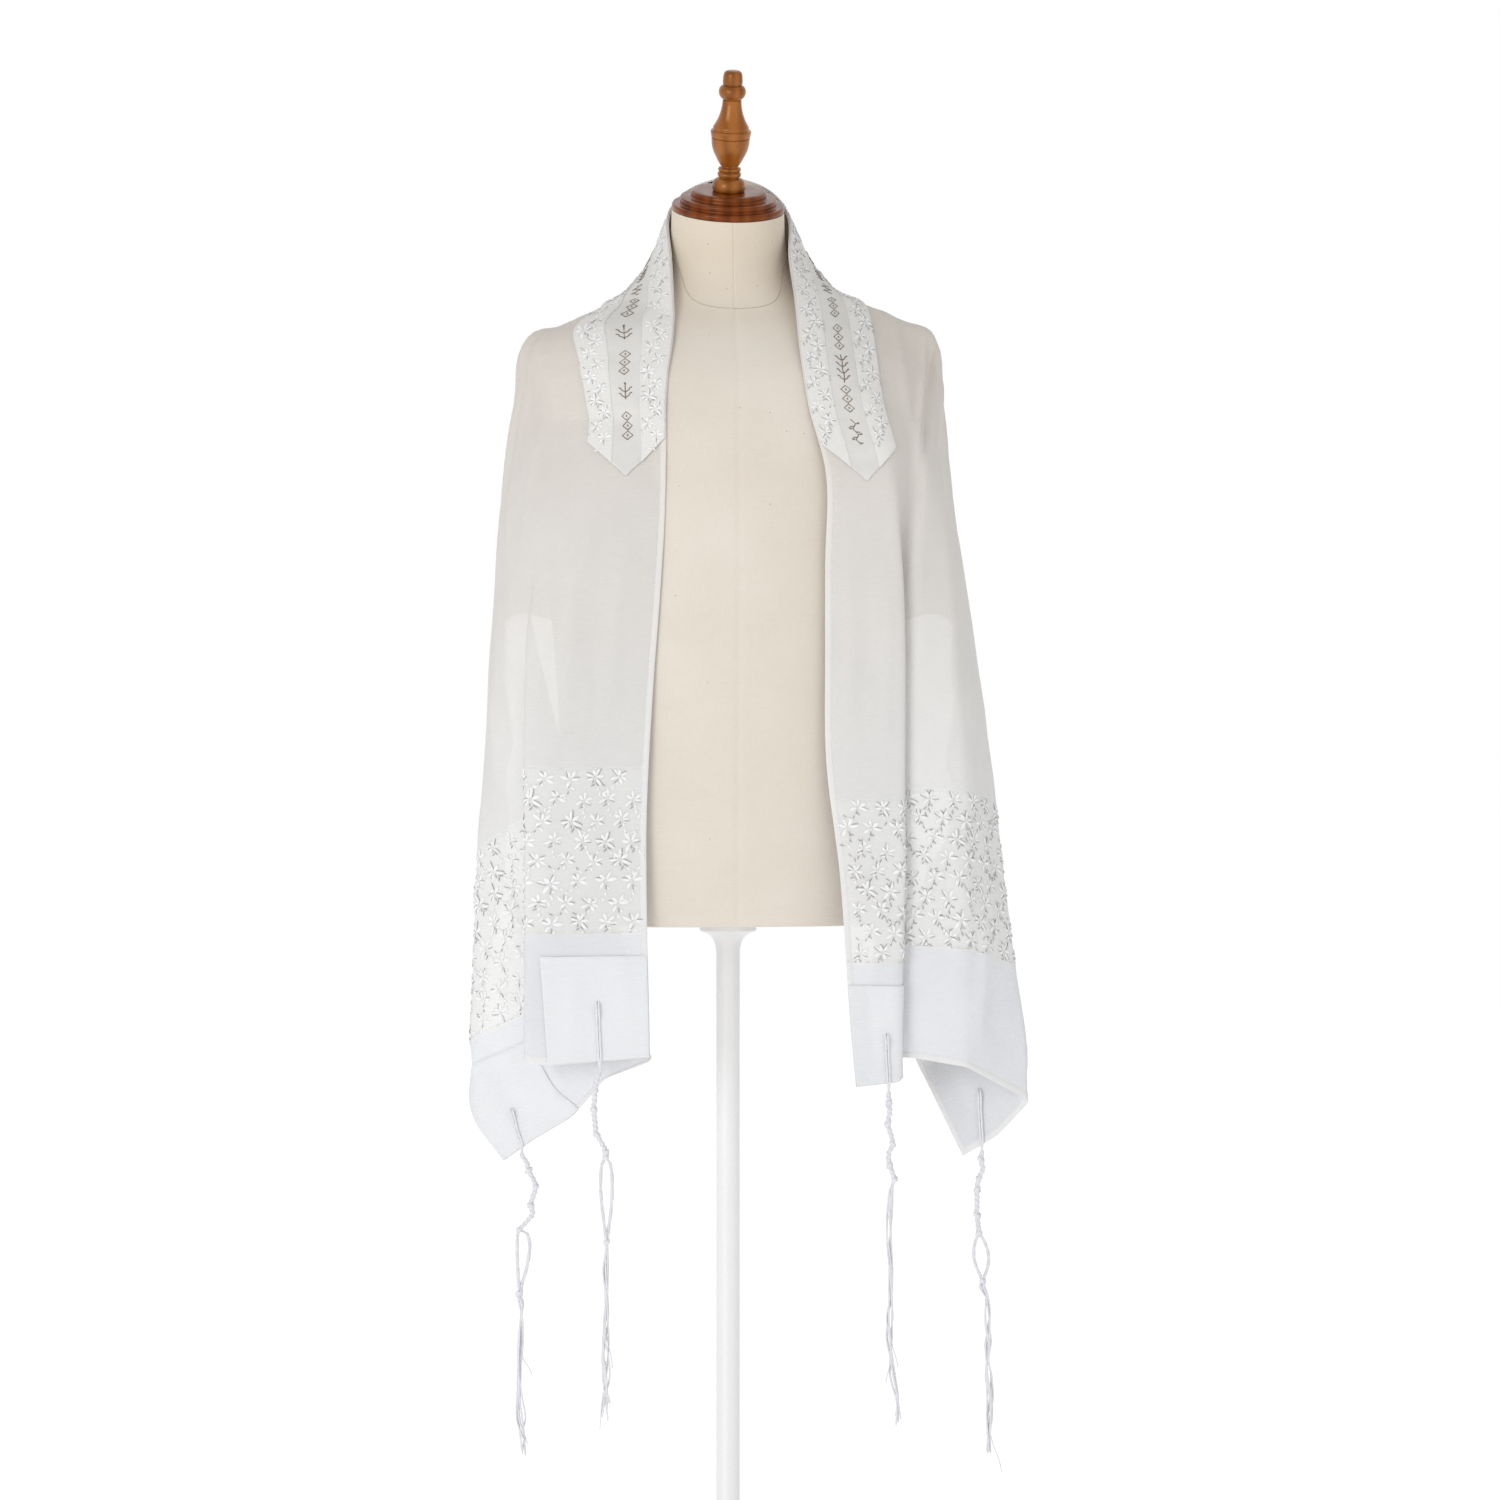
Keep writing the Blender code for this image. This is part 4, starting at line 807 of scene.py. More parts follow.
# turned profiles: radius, height
capProfile = [
    (58.4, 0), (59.3, 0.7), (59.6, 2.0), (59.6, 4.4), (59.1, 5.6), (57.8, 6.4), (51.8, 6.5), (51.2, 6.9),
    (51.0, 8.0), (51.2, 9.4), (51.2, 11.8), (50.6, 13.0), (49.4, 13.7), (41.0, 13.8), (40.3, 14.3),
    (40.0, 15.4), (40.1, 18.2), (39.6, 19.6), (38.2, 20.5), (20.0, 20.5), (2.0, 20.5)]
finialProfile = [
    (2, 0), (16.4, 0), (17.2, 1.4), (17.5, 4.0), (17.3, 7.0), (16.6, 9.4), (15.2, 11.4), (13.0, 12.9),
    (11.0, 13.5), (9.9, 13.8), (9.9, 14.3), (11.6, 15.1), (12.4, 16.7), (12.4, 18.0), (11.6, 19.4),
    (10.1, 20.1), (10.1, 20.5), (11.5, 21.2), (12.2, 22.4), (11.9, 23.6), (10.7, 24.5), (8.9, 25.2),
    (8.8, 25.9), (9.7, 26.8), (12.1, 30.3), (14.2, 34.4), (16.3, 38.5), (18.1, 42.6), (19.3, 46.7),
    (19.9, 50.8), (20.2, 55.4), (19.3, 55.9), (19.3, 56.3), (20.5, 56.8), (21.0, 59.5), (21.4, 61.6),
    (21.3, 63.0), (20.6, 63.9), (19.0, 64.3), (18.8, 65.0), (18.9, 66.6), (18.3, 68.2), (16.2, 71.8),
    (14.3, 75.4), (12.7, 79.5), (11.5, 83.6), (10.6, 87.7), (10.1, 91.8), (9.9, 95.2), (9.2, 95.7),
    (9.2, 96.1), (10.6, 96.8), (12.4, 98.6), (13.7, 101.0), (14.2, 103.6), (14.0, 106.0), (13.0, 108.4),
    (11.2, 110.2), (9.2, 110.8), (9.2, 111.3), (10.2, 112.0), (10.4, 115.0), (10.1, 119.5), (9.8, 121.6),
    (9.0, 123.8), (7.4, 125.3), (5.2, 125.9), (1.0, 126.0)]
cap = lathe("turnedCap", refine(capProfile), 96, onNeck(0.3), looks["darkWood"])
settle(cap, "dark_wood", "neck_cap")
finial = lathe("turnedFinial", refine(finialProfile), 72, onNeck(21.1), looks["lightWood"])
settle(finial, "light_wood", "finial")

poleStand = {"base": 160.0, "height": 12.0, "pole": 12.5}
wide, high, slim = poleStand["base"], poleStand["height"], poleStand["pole"]
rim = [(wide - 5, 0), (wide - 3, 0), (wide - 1.5, 0), (wide - 0.4, 0.4), (wide, 1.5), (wide, 4),
       (wide, high - 5), (wide, high - 3), (wide - 0.9, high - 0.9), (wide - 3, high), (wide - 6, high)]
foot = [(2, high + 0.3), (20, high + 0.3), (20, high + 7.5), (18.5, high + 9.5), (14, high + 11),
        (slim, high + 13)]
flare = [(slim, 738), (slim, 744), (13.1, 751), (14.6, 757), (17.5, 762), (22.5, 765.8), (28, 767.8),
         (30, 769.2)]
for name, profile, count, node in (
        ("standBase", [(2, 0)] + refine(rim) + [(2, high)], 128, "stand_base"),
        ("standPole", foot + refine(flare) + [(30, 777.7), (2, 777.7)], 48, "stand_pole")):
    settle(lathe(name, profile, count, lambda p: p, looks["steel"]), "white_metal", node)
print("form, cap, finial and stand made")


# cloth: body, lace grounds, ends, hems, corner patches, neckband
leftEnd, rightEnd, width = shawl["leftHalf"], shawl["rightHalf"], shawl["width"]
halves = (("Left", -1, leftEnd), ("Right", 1, rightEnd))


def rowsBetween(a, b, step=shawl["rowStep"]):
    return np.linspace(a, b, max(2, int(round(abs(b - a) / step)) + 1))


bodyRows = rowsBetween(shawl["bandHigh"] - leftEnd, rightEnd - shawl["bandHigh"])
body = settle(openSheet("shawlBody", bodyRows, cloth.vs, looks["voile"]), "sheer_cloth", "body_cloth")
grounds, ends = {}, {}
for name, sign, end in halves:
    for made, kind, far, near, look, slot, node in (
            (grounds, "laceGround", shawl["bandHigh"], shawl["bandLow"], "laceGround", "lace", "lace_band_"),
            (ends, "endPanel", shawl["bandLow"], 0, "endVoile", "sheer_cloth", "end_panel_")):
        rows = rowsBetween(*sorted((sign * (end - far), sign * (end - near))))
        made[sign] = settle(openSheet(kind + name, rows, cloth.vs, looks[look]), slot, node + name.lower())

hemShape = {"wide": 5.2, "high": 0.4, "over": 0.5, "step": 6.0}


def hemCross(extra):
    wide, high, over = hemShape["wide"] + extra, hemShape["high"], hemShape["over"]
    upper = [(-over * 0.4, high * 0.8), (wide * 0.3, high), (wide * 0.75, high * 0.9), (wide, high * 0.45)]
    return [(-over, 0), *upper, (wide + 0.4, 0), *((x, -h) for x, h in reversed(upper))]


longRows, crossCols = rowsBetween(-leftEnd, rightEnd, hemShape["step"]), np.linspace(0, width, 100)
for name, extra, path in (("Inner", 0, [lambda c, u=u: (u, c) for u in longRows]),
                          ("Outer", 0, [lambda c, u=u: (u, width - c) for u in longRows]),
                          ("Left", 1, [lambda c, v=v: (-leftEnd + c, v) for v in crossCols]),
                          ("Right", 1, [lambda c, v=v: (rightEnd - c, v) for v in crossCols])):
    settle(rolled("hem" + name, path, hemCross(extra), looks["hem"]), "sheer_cloth")

# corner patches lie on the outer face of the ends
patchAt = {"low": 0.95, "high": 1.75, "wide": 102.0}
for name, sign, end in halves:
    for tag, a, b in (("Inner", 0.6, patchAt["wide"]), ("Outer", width - patchAt["wide"], width - 0.6)):
        long = shawl["patch"]
        rows = np.array([0.6, 1.4, 2.6, *np.linspace(5, long - 4, 22), long - 1.4, long])
        cols = np.array([a, a + 0.8, a + 2.0, *np.linspace(a + 4.5, b - 4.5, 24), b - 2.0, b - 0.8, b])
        obj = slab("cornerPatch" + name + tag, np.sort(sign * (end - rows)), lambda u: cols, patchAt["low"],
                   patchAt["high"], looks["patch"])
        settle(obj, "patch_cloth", "corner_patch_%s_%s" % (name.lower(), tag.lower()))

# neckband: satin with pointed ends, an embroidered strip along each edge
neckband = {"depth": 84.0, "point": 385.0, "tip": 424.0, "strip": 27.0, "low": 0.9, "high": 2.0, "raise": 0.7,
            "step": 6.0}
bandMid, bandTop = neckband["depth"] / 2, neckband["high"] + neckband["raise"]
point, strip, tipLong = neckband["point"], neckband["strip"], neckband["tip"] - neckband["point"]


def bandHalf(u):
    return bandMid * (1 - float(np.clip((abs(u) - point) / tipLong, 0, 0.975)))


def bandCols(u):
    t = np.array([0, 0.008, 0.02, *np.linspace(0.05, 0.95, 25), 0.98, 0.992, 1])
    return bandMid + (t * 2 - 1) * bandHalf(u)


def stripCols(low, high):
    def cols(u):
        a, b = max(low, bandMid - bandHalf(u)), min(high, bandMid + bandHalf(u))
        if b - a < 1.0:
            mid = low if low > bandMid else high
            a, b = mid - 0.5, mid + 0.5
        return np.linspace(a, b, 12)

    return cols


tipRows = np.linspace(point, neckband["tip"], 9)
bandRows = np.concatenate([-tipRows[::-1], rowsBetween(-point, point, neckband["step"])[1:-1], tipRows])
satinBand = slab("neckbandSatin", bandRows, bandCols, neckband["low"], neckband["high"], looks["satin"])
settle(satinBand, "satin", "collar_base")
stripEnd = point + tipLong * (bandMid - strip + 12) / bandMid
for tag, low, high in (("Inner", 1.0, strip), ("Outer", neckband["depth"] - strip, neckband["depth"] - 1.0)):
    obj = slab("neckbandStrip" + tag, rowsBetween(-stripEnd, stripEnd, neckband["step"]), stripCols(low, high),
               neckband["high"] + 0.15, bandTop, looks["strip"])
    settle(obj, "lace", "collar_trim_" + tag.lower())
label = slab("napeLabel", np.linspace(-27, 0, 8), lambda u: np.linspace(1.5, 13, 6), -1.6, -1.0,
             looks["label"], 0.6)
settle(outward(label), "label_cloth", "nape_label")
print("cloth pieces made")

# embroidery: motifs are laid out flat, scattered by geometry nodes, then bent onto the cloth
stitchWork = {"petal": 10.4, "petalWide": 3.7, "petalHigh": 1.1, "leaf": 5.6, "leafWide": 2.5, "stem": 0.85,
              "pitch": 25.2, "jitter": 2.0, "rows": 8, "kinds": 5}


class Flat:   # x along the cloth and y across it, in millimetres
    def __init__(self):
        self.verts, self.faces, self.uv = [], [], []

    def lens(self, x, y, angle, length, wide, high, bend=0.0):   # a satin stitched petal or leaf
        first = len(self.verts)
        c, s = math.cos(math.radians(angle)), math.sin(math.radians(angle))
        for t, w in ((0.0, 0.0), (0.22, 0.66), (0.55, 1.0), (0.84, 0.62), (1.0, 0.0)):
            rim, top = w * wide / 2, high * (0.55 + 0.45 * w)
            ring = [(-rim, 0.12 * high), (0, top), (rim, 0.12 * high), (0, -0.25)]
            for side, h in ring if w else [(0, 0)]:
                along, across = t * length, bend * t * t * length + side
                self.verts.append((x + along * c - across * s, y + along * s + across * c, h + 0.15))
                self.uv.append((along * mm, across * mm))
        last = len(self.verts) - 1
        for k in range(4):
            a, b = first + 1 + k, first + 1 + (k + 1) % 4
            self.faces += [(first, b, a), (a, b, b + 4, a + 4), (a + 4, b + 4, b + 8, a + 8),
                           (a + 8, b + 8, last)]

    def line(self, points, wide=1.15, high=0.5):   # a thin stitched stem, three sided
        start, n, run = len(self.verts), len(points), 0.0
        for i, p in enumerate(points):
            a, b = points[max(i - 1, 0)], points[min(i + 1, n - 1)]
            d = np.array([b[0] - a[0], b[1] - a[1]], float)
            d /= np.linalg.norm(d)
            run += math.dist(points[i - 1], p) if i else 0.0
            for side, h in ((-0.5, 0.05), (0, high), (0.5, 0.05)):
                self.verts.append((p[0] - d[1] * side * wide, p[1] + d[0] * side * wide, h))
                self.uv.append((run * mm, side * wide * mm))
        self.faces += [(a, d, c, b) for a, b, c, d in gridFaces(n, 3, start, closed=True)]
        end = start + n * 3
        self.faces += [(start, start + 1, start + 2), (end - 1, end - 2, end - 3)]

    def build(self, name, mat):
        return piece(name, self.verts, self.faces, mat, self.uv, 80.0)


def flowerMotif(seed, silverShare):   # what is stitched in white, and the dark strokes in silver thread that also paint shade beside the petals
    pick, work = random.Random(seed), stitchWork
    white, silver = Flat(), Flat()
    angles = pick.choice(([-128, -70, -18, 30, 82, 136], [-118, -52, 4, 58, 118], [-132, -84, -28, 22, 64, 120],
                          [-100, -44, 10, 66, 132]))
    lean = pick.uniform(-18, 18)
    for angle in angles:
        angle += lean + pick.uniform(-9, 9)
        long = work["petal"] * pick.uniform(0.72, 1.06)
        c, s = math.cos(math.radians(angle)), math.sin(math.radians(angle))
        bend = pick.uniform(-0.14, 0.14)
        white.lens(c, s, angle, long, work["petalWide"] * pick.uniform(0.85, 1.15), work["petalHigh"], bend)
        if pick.random() < silverShare:   # a dark edge along one side of the petal, partly silver thread and partly painted shade
            side = pick.choice((-1, 1)) * work["petalWide"] * 0.42
            silver.lens(2.4 * c - side * s, 2.4 * s + side * c, angle, long * 0.86, work["leafWide"] * 0.5,
                        work["petalHigh"] * 0.9, bend)
    sway = pick.choice((-1, 1))
    stem = ((0.5, 0.0), (-4.0, 0.5), (-8.0, 2.4), (-12.0, 5.6), (-14.6, 9.8), (-15.0, 13.0))
    white.line([(x, sway * y) for x, y in stem], work["stem"], 0.55)
    for x, y, turn in ((-5.0, 0.9, 140), (-6.5, 1.5, -140), (-10.0, 3.8, 158), (-14.4, 9.0, -165),
                       (-14.8, 12.0, 60)):
        dark = pick.random() < silverShare * 1.5
        flat, wide = (silver, work["leafWide"] * 0.55) if dark else (white, work["leafWide"])
        flat.lens(x, sway * y, sway * turn + pick.uniform(-16, 16), work["leaf"] * pick.uniform(0.7, 1.2), wide,
                  work["petalHigh"] * 0.8, pick.uniform(-0.2, 0.2))
    silver.lens(-3.0, 0.6, 160, 4.0, 1.4, 0.6)   # keeps every variant non-empty
    return white, silver


def sprigMotif(kind):   # generic ornament for the neckband: sprigs and lozenges in thin strokes
    flat = Flat()

    def leafPair(x, long, spread):
        for side in (-1, 1):
            flat.line([(x, side * 0.3), (x + long * 0.5, side * spread * 0.8), (x + long, side * spread)])
            flat.lens(x + long * 0.9, side * spread, side * 62, 2.6, 1.5, 0.6)

    if kind == 0:
        flat.line([(-15, 0.6), (-7, -0.5), (0, 0.4), (8, -0.4), (15, 0.5)])
        for x in (-12, -5, 2, 9):
            leafPair(x, 4.2, 4.4)
    elif kind == 1:
        flat.line([(-14, -2.4), (-9, 2.2), (-3, -2.2), (3, 2.2), (9, -2.2), (14, 2.0)])
        for x, side in ((-9, 1), (-3, -1), (3, 1), (9, -1)):
            flat.lens(x, side * 2.6, side * 74, 4.4, 2.0, 0.6)
            flat.line([(x - 3, side * 0.4), (x - 3.4, -side * 4.6)])
    elif kind == 2:
        for x in (-10, 0, 10):
            flat.line([(x - 4.4, 0), (x, 5.2), (x + 4.4, 0), (x, -5.2), (x - 4.4, 0)])
            flat.lens(x - 1.4, 0, 0, 2.8, 1.6, 0.6)
    elif kind == 3:
        flat.line([(-14, 0), (14, 0)])
        for x in (-11, -4, 3, 10):
            flat.line([(x, 0), (x + 1.6, 4.8), (x - 1.2, 5.6)])
            flat.line([(x + 2.5, 0), (x + 0.9, -4.6), (x + 3.6, -5.4)])
    else:
        flat.line([(-8, 0), (8, 0)])
        for x in (-6, 0):
            leafPair(x, 4.6, 4.8)
        flat.lens(7.5, 0, 0, 3.6, 2.2, 0.6)
    return flat


def stitchMotif(long, wide, high):
    flat = Flat()
    x, y = long / 2, wide / 2
    flat.verts = [(-x, 0, 0.1), (0, -y, 0.1), (x, 0, 0.1), (0, y, 0.1), (0, 0, high), (0, 0, -0.2)]
    flat.faces = [(0, 1, 4), (1, 2, 4), (2, 3, 4), (3, 0, 4), (1, 0, 5), (2, 1, 5), (3, 2, 5), (0, 3, 5)]
    flat.uv = [(x * mm, y * mm) for x, y, z in flat.verts]
    return flat


motifBins = {}


def store(tag, flats, mat):
    motifBins[tag] = bpy.data.collections.new(tag + "Motifs")
    for k, flat in enumerate(flats):
        obj = flat.build(tag + "Motif%d" % k, mat)
        scene.collection.objects.unlink(obj)
        motifBins[tag].objects.link(obj)


kinds = range(stitchWork["kinds"])
# how often a petal gets a dark edge and a leaf turns dark: silver thread and painted shade
for name, share in (("Left", 0.24), ("Right", 0.56)):
    for tag, flats in zip(("white", "silver"), zip(*(flowerMotif(40 + k, share) for k in kinds))):
        store(tag + name, flats, looks[tag + "Thread"])
store("sprig", [sprigMotif(k) for k in kinds], looks["bronzeThread"])
store("stitch", [stitchMotif(2.3 + 0.12 * k, 0.75, 0.45) for k in kinds], looks["whiteThread"])


def newTree(name, *inputs):   # a geometry tree with named inputs, and the sockets they arrive at
    tree = bpy.data.node_groups.new(name, "GeometryNodeTree")
    for label, kind, *value in (("Geometry", "Geometry"), *inputs):
        made = tree.interface.new_socket(name=label, in_out="INPUT", socket_type="NodeSocket" + kind)
        if value:
            made.default_value = value[0]
    tree.interface.new_socket(name="Geometry", in_out="OUTPUT", socket_type="NodeSocketGeometry")
    return tree, tree.nodes.new("NodeGroupInput").outputs


def endTree(tree, geometry, thread):
    real = addNode(tree, "GeometryNodeRealizeInstances", {0: geometry}).outputs[0]
    coloured = addNode(tree, "GeometryNodeSetMaterial", {"Geometry": real, "Material": thread}).outputs[0]
    addNode(tree, "NodeGroupOutput", {0: coloured})
    return tree


def scatterTree():   # motifs on the points, turned and sized at random from a fixed seed
    tree, given = newTree("scatterStitches", ("Motifs", "Collection"), ("Thread", "Material"),
                          ("Heading", "Float", 0.0), ("Turn", "Float", 0.3), ("Smallest", "Float", 0.9),
                          ("Largest", "Float", 1.1), ("Seed", "Int", 3))

    def draw(kind, first, low, high):
        return addNode(tree, "FunctionNodeRandomValue", {first: low, first + 1: high, "Seed": given["Seed"]},
                       data_type=kind).outputs[first // 2]

    back = addNode(tree, "ShaderNodeMath", {0: given["Turn"], 1: -1.0}, operation="MULTIPLY").outputs[0]
    turn = draw("FLOAT", 2, back, given["Turn"])
    turn = addNode(tree, "ShaderNodeMath", {0: turn, 1: given["Heading"]}).outputs[0]
    motifs = addNode(tree, "GeometryNodeCollectionInfo", {
        "Collection": given["Motifs"], "Separate Children": True, "Reset Children": True}).outputs[0]
    placed = addNode(tree, "GeometryNodeInstanceOnPoints", {
        "Points": given["Geometry"], "Instance": motifs, "Pick Instance": True,
        "Instance Index": draw("INT", 4, 0, stitchWork["kinds"] - 1),
        "Rotation": addNode(tree, "ShaderNodeCombineXYZ", {2: turn}).outputs[0],
        "Scale": draw("FLOAT", 2, given["Smallest"], given["Largest"])}).outputs[0]
    return endTree(tree, placed, given["Thread"])


def runNodes(name, mesh, tree, values):   # applies a tree to a mesh and returns the plain result
    source = addObject(mesh.name, mesh)
    mod = source.modifiers.new("nodes", "NODES")
    mod.node_group = tree
    for item in tree.interface.items_tree:
        if item.in_out == "INPUT" and item.name in values:
            mod[item.identifier] = values[item.name]
    graph = bpy.context.evaluated_depsgraph_get()
    made = bpy.data.meshes.new_from_object(source.evaluated_get(graph), preserve_all_data_layers=True,
                                           depsgraph=graph)
    made.name = name
    obj = addObject(name, made)
    bpy.data.objects.remove(source, do_unlink=True)
    return obj


scatter = scatterTree()
anywhere = (-math.inf, math.inf)


def stitch(name, tag, look, spots, heading, lift, turn=0.08, sizes=(0.94, 1.06), seed=2, uRange=anywhere,
           vRange=anywhere):
    mesh = bpy.data.meshes.new("spots")
    mesh.from_pydata([(u * mm, v * mm, 0) for u, v in spots], [], [])
    obj = runNodes(name, mesh, scatter, {
        "Motifs": motifBins[tag], "Thread": looks[look], "Heading": math.radians(heading), "Turn": turn,
        "Smallest": sizes[0], "Largest": sizes[1], "Seed": seed})
    co = np.empty(len(obj.data.vertices) * 3)
    obj.data.vertices.foreach_get("co", co)
    u, v, h = (co.reshape(-1, 3) / mm).T
    bent = cloth.at(np.clip(u, *uRange), np.clip(v, *vRange), h + lift) * mm   # flat layout to the cloth
    obj.data.vertices.foreach_set("co", bent.ravel())
    obj.data.update()
    shade(obj.data, 80.0)
    settle(obj, "thread")


def flowers(name, side, *more):
    for tag in ("white", "silver"):
        stitch(name + tag.capitalize(), tag + side, tag + "Thread", *more)


def bandSpots(sign, end):   # staggered rows with a little hand wander
    pick, rows, jitter = random.Random(5 + sign), stitchWork["rows"], stitchWork["jitter"]
    spots = []
    for r in range(rows):
        up = shawl["bandLow"] + 12.5 + r * (shawl["bandHigh"] - shawl["bandLow"] - 24.0) / (rows - 1)
        for v in 14 + (np.arange(19) + (0.5 if r % 2 else 0.0)) * stitchWork["pitch"]:
            if v <= width - 12:
                spots.append((sign * (end - up + pick.uniform(-1, 1) * jitter),
                              v + pick.uniform(-1, 1) * jitter))
    return spots


def stripSpots(centre, sign):
    pick = random.Random(11 + sign)
    spots = [(u, centre + (4.2 if k % 2 else -4.2) + pick.uniform(-1, 1))
             for k, u in enumerate(np.arange(2 - point, point, 13.5))]
    return [spot for spot in spots if spot[0] * sign > 0]


headings = {-1: 0, 1: 180}
for name, sign, end in halves:
    span = sorted((sign * (end - shawl["bandHigh"] + 2), sign * (end - shawl["bandLow"] - 2)))
    flowers("laceFlowers" + name, name, bandSpots(sign, end), headings[sign], 0.25, 0.42, (0.86, 1.06),
            7 + sign, span, (1.5, width - 1.5))
for tag, centre in (("Inner", 14.0), ("Outer", 70.0)):
    for name, sign, end in halves:
        flowers("stripFlowers" + tag + name, name, stripSpots(centre, sign), headings[sign], bandTop + 0.1, 0.7,
                (0.66, 0.82), 21 + sign, anywhere, (centre - 12.6, centre + 12.6))
sprigsAt = [372, 336, 303, 268, 232, 196, 160, 124, 88, 52, 18]
for name, sign, end in halves:
    spots = [(sign * u, bandMid) for u in sprigsAt]
    stitch("neckbandSprigs" + name, "sprig", "bronzeThread", spots, headings[sign], neckband["high"] + 0.05,
           0.03, seed=12 + 5 * sign)

stitchRows = {"Along": [], "Across": []}


def sew(way, lift, pitch, *seams):   # evenly spaced stitches on straight seams of the flat layout
    spots = []
    for a, b in seams:
        n = max(1, int(math.dist(a, b) / pitch))
        spots += [tuple(p + (q - p) * (k + 0.5) / n for p, q in zip(a, b)) for k in range(n)]
    stitchRows[way].append((lift, spots))


for v in (2.4, strip - 1.4, neckband["depth"] - strip + 1.4, neckband["depth"] - 2.4):
    sew("Along", bandTop, 3.6, ((3 - point, v), (point - 3, v)))
for v in (5.6, width - 5.6):
    sew("Along", hemShape["high"], 4.2, ((4 - leftEnd, v), (-point - 45, v)),
        ((point + 45, v), (rightEnd - 4, v)))
for name, sign, end in halves:
    u = sign * (end - 6.6)
    sew("Across", hemShape["high"], 4.2, ((u, 4), (u, width - 4)))
    for at, inward in ((shawl["bandHigh"], -1), (shawl["bandLow"], 1)):
        for step in (1.8, 4.0):   # a dense row finishes each edge of the lace
            u = sign * (end - at - inward * step)
            sew("Across", 0.35, 2.7, ((u, 3), (u, width - 3)))
    for a, b in ((2.8, 99.8), (width - 99.8, width - 2.8)):
        near, far, inner = (sign * (end - at) for at in (2.8, shawl["patch"] - 2.4, shawl["patch"] - 9.5))
        sew("Along", patchAt["high"], 3.4, *(((near, v), (far, v)) for v in (a, b)))
        sew("Across", patchAt["high"], 3.4, *(((u, a), (u, b)) for u in (near, far, inner)))
for way, heading in (("Along", 0), ("Across", 90)):
    for k, (lift, spots) in enumerate(stitchRows[way]):
        stitch("stitches%s%d" % (way, k + 1), "stitch", "whiteThread", spots, heading, lift)
for holder in motifBins.values():
    for obj in list(holder.objects):
        bpy.data.objects.remove(obj, do_unlink=True)
    bpy.data.collections.remove(holder)
print("embroidery stitched")

# corner tassels: eight threads through a hole, wound and knotted, parted in a loop, then hanging loose
# cord: x step, z, knot or plain; loop: z bottom, bow to the left and right, how near the top it is widest
# bunch: x step, z, spread of the threads; stray: z, x step, z low
tassels = {
    "LeftInner": dict(
        side=-1, hole=(57, 50), hem=50, face=1, seed=3, tail=32, loop=(462, 5.5, 6.5, 0.6),
        cord=[(-2, 628, 0), (-4.5, 618, 0), (-5, 612, 1), (-5.5, 603, 0), (-6, 594, 1), (-5, 582, 0),
              (-3, 568, 1), (2, 560, 0), (6, 551, 1), (6, 545, 1)],
        bunch=[(7, 452, 1.2), (5.5, 427, 3.4), (7, 404, 1.5), (6.5, 383, 3.2), (6, 362, 3.8), (6, 340, 4.2),
               (6.5, 318, 3.6), (6, 308, 2.6)],
        stray=[(372, 7.0, 330), (338, -6.0, 268)]),
    "LeftOuter": dict(
        side=-1, hole=(50, 410), hem=428, face=1, seed=5, tail=32, loop=(400, 2.0, 11.0, 0.55),
        cord=[(1, 548, 0), (3, 541, 1), (5, 532, 0), (7, 524, 1), (13, 512, 0), (14, 507, 1), (11, 496, 0),
              (9, 488, 1), (11, 480, 0), (4, 470, 0), (-3, 463, 1)],
        bunch=[(-3, 396, 3.8), (-1.5, 385, 3.6), (-1, 373, 1.2), (-1, 350, 3.2), (-2, 320, 3.2),
               (-2, 290, 4.0), (-1, 262, 4.0), (-1, 255, 3.0)],
        stray=[(336, 12.0, 312), (262, 7.0, 240)]),
    "RightInner": dict(
        side=1, hole=(53, 40), hem=40, face=1, seed=8, tail=24, loop=None,
        cord=[(0, 606, 0), (0, 598, 1), (1, 588, 0), (-1, 577, 1), (2, 566, 0), (4, 556, 1), (0, 545, 0),
              (1, 534, 1), (4, 526, 0), (6, 519, 1)],
        bunch=[(3, 510, 2.6), (1, 492, 3.2), (0, 470, 2.6), (1, 448, 2.8), (2, 420, 2.8), (2, 396, 1.8),
               (1, 378, 3.6), (1, 356, 3.4), (2, 338, 1.8), (4, 318, 3.4), (9, 290, 1.4)],
        stray=[(362, 8.5, 326), (336, -5.5, 310)]),
    "RightOuter": dict(
        side=1, hole=(50, 401), hem=427, face=-1, seed=13, tail=22, loop=(408, 7.5, 8.0, 1.0),
        cord=[(0, 541, 0), (-1, 532, 1), (1, 522, 0), (-3, 513, 1), (-5, 501, 1), (-5, 490, 0), (-5, 474, 1),
              (-4, 466, 0), (-3, 455, 1)],
        bunch=[(1, 400, 4.0), (5, 388, 2.2), (6, 372, 3.2), (6.5, 356, 3.6), (7, 342, 4.0), (6, 322, 1.8),
               (7, 305, 4.0), (9, 282, 4.2), (8, 262, 3.4), (7, 246, 1.6)],
        stray=[(252, 14.0, 204), (262, -4.0, 256)]),
}
threadSize = {"count": 8, "radius": 0.92, "core": 1.6, "lay": 1.25, "twist": 0.42, "winding": 0.85, "knot": 2.9,
              "turns": 3, "perTurn": 10, "sides": 6, "step": 2.6, "above": 1.3, "behind": 2.2, "drop": 9.0}
eyelet = {"radius": 2.3, "thread": 0.5, "points": 16, "front": 1.9, "back": -0.5}


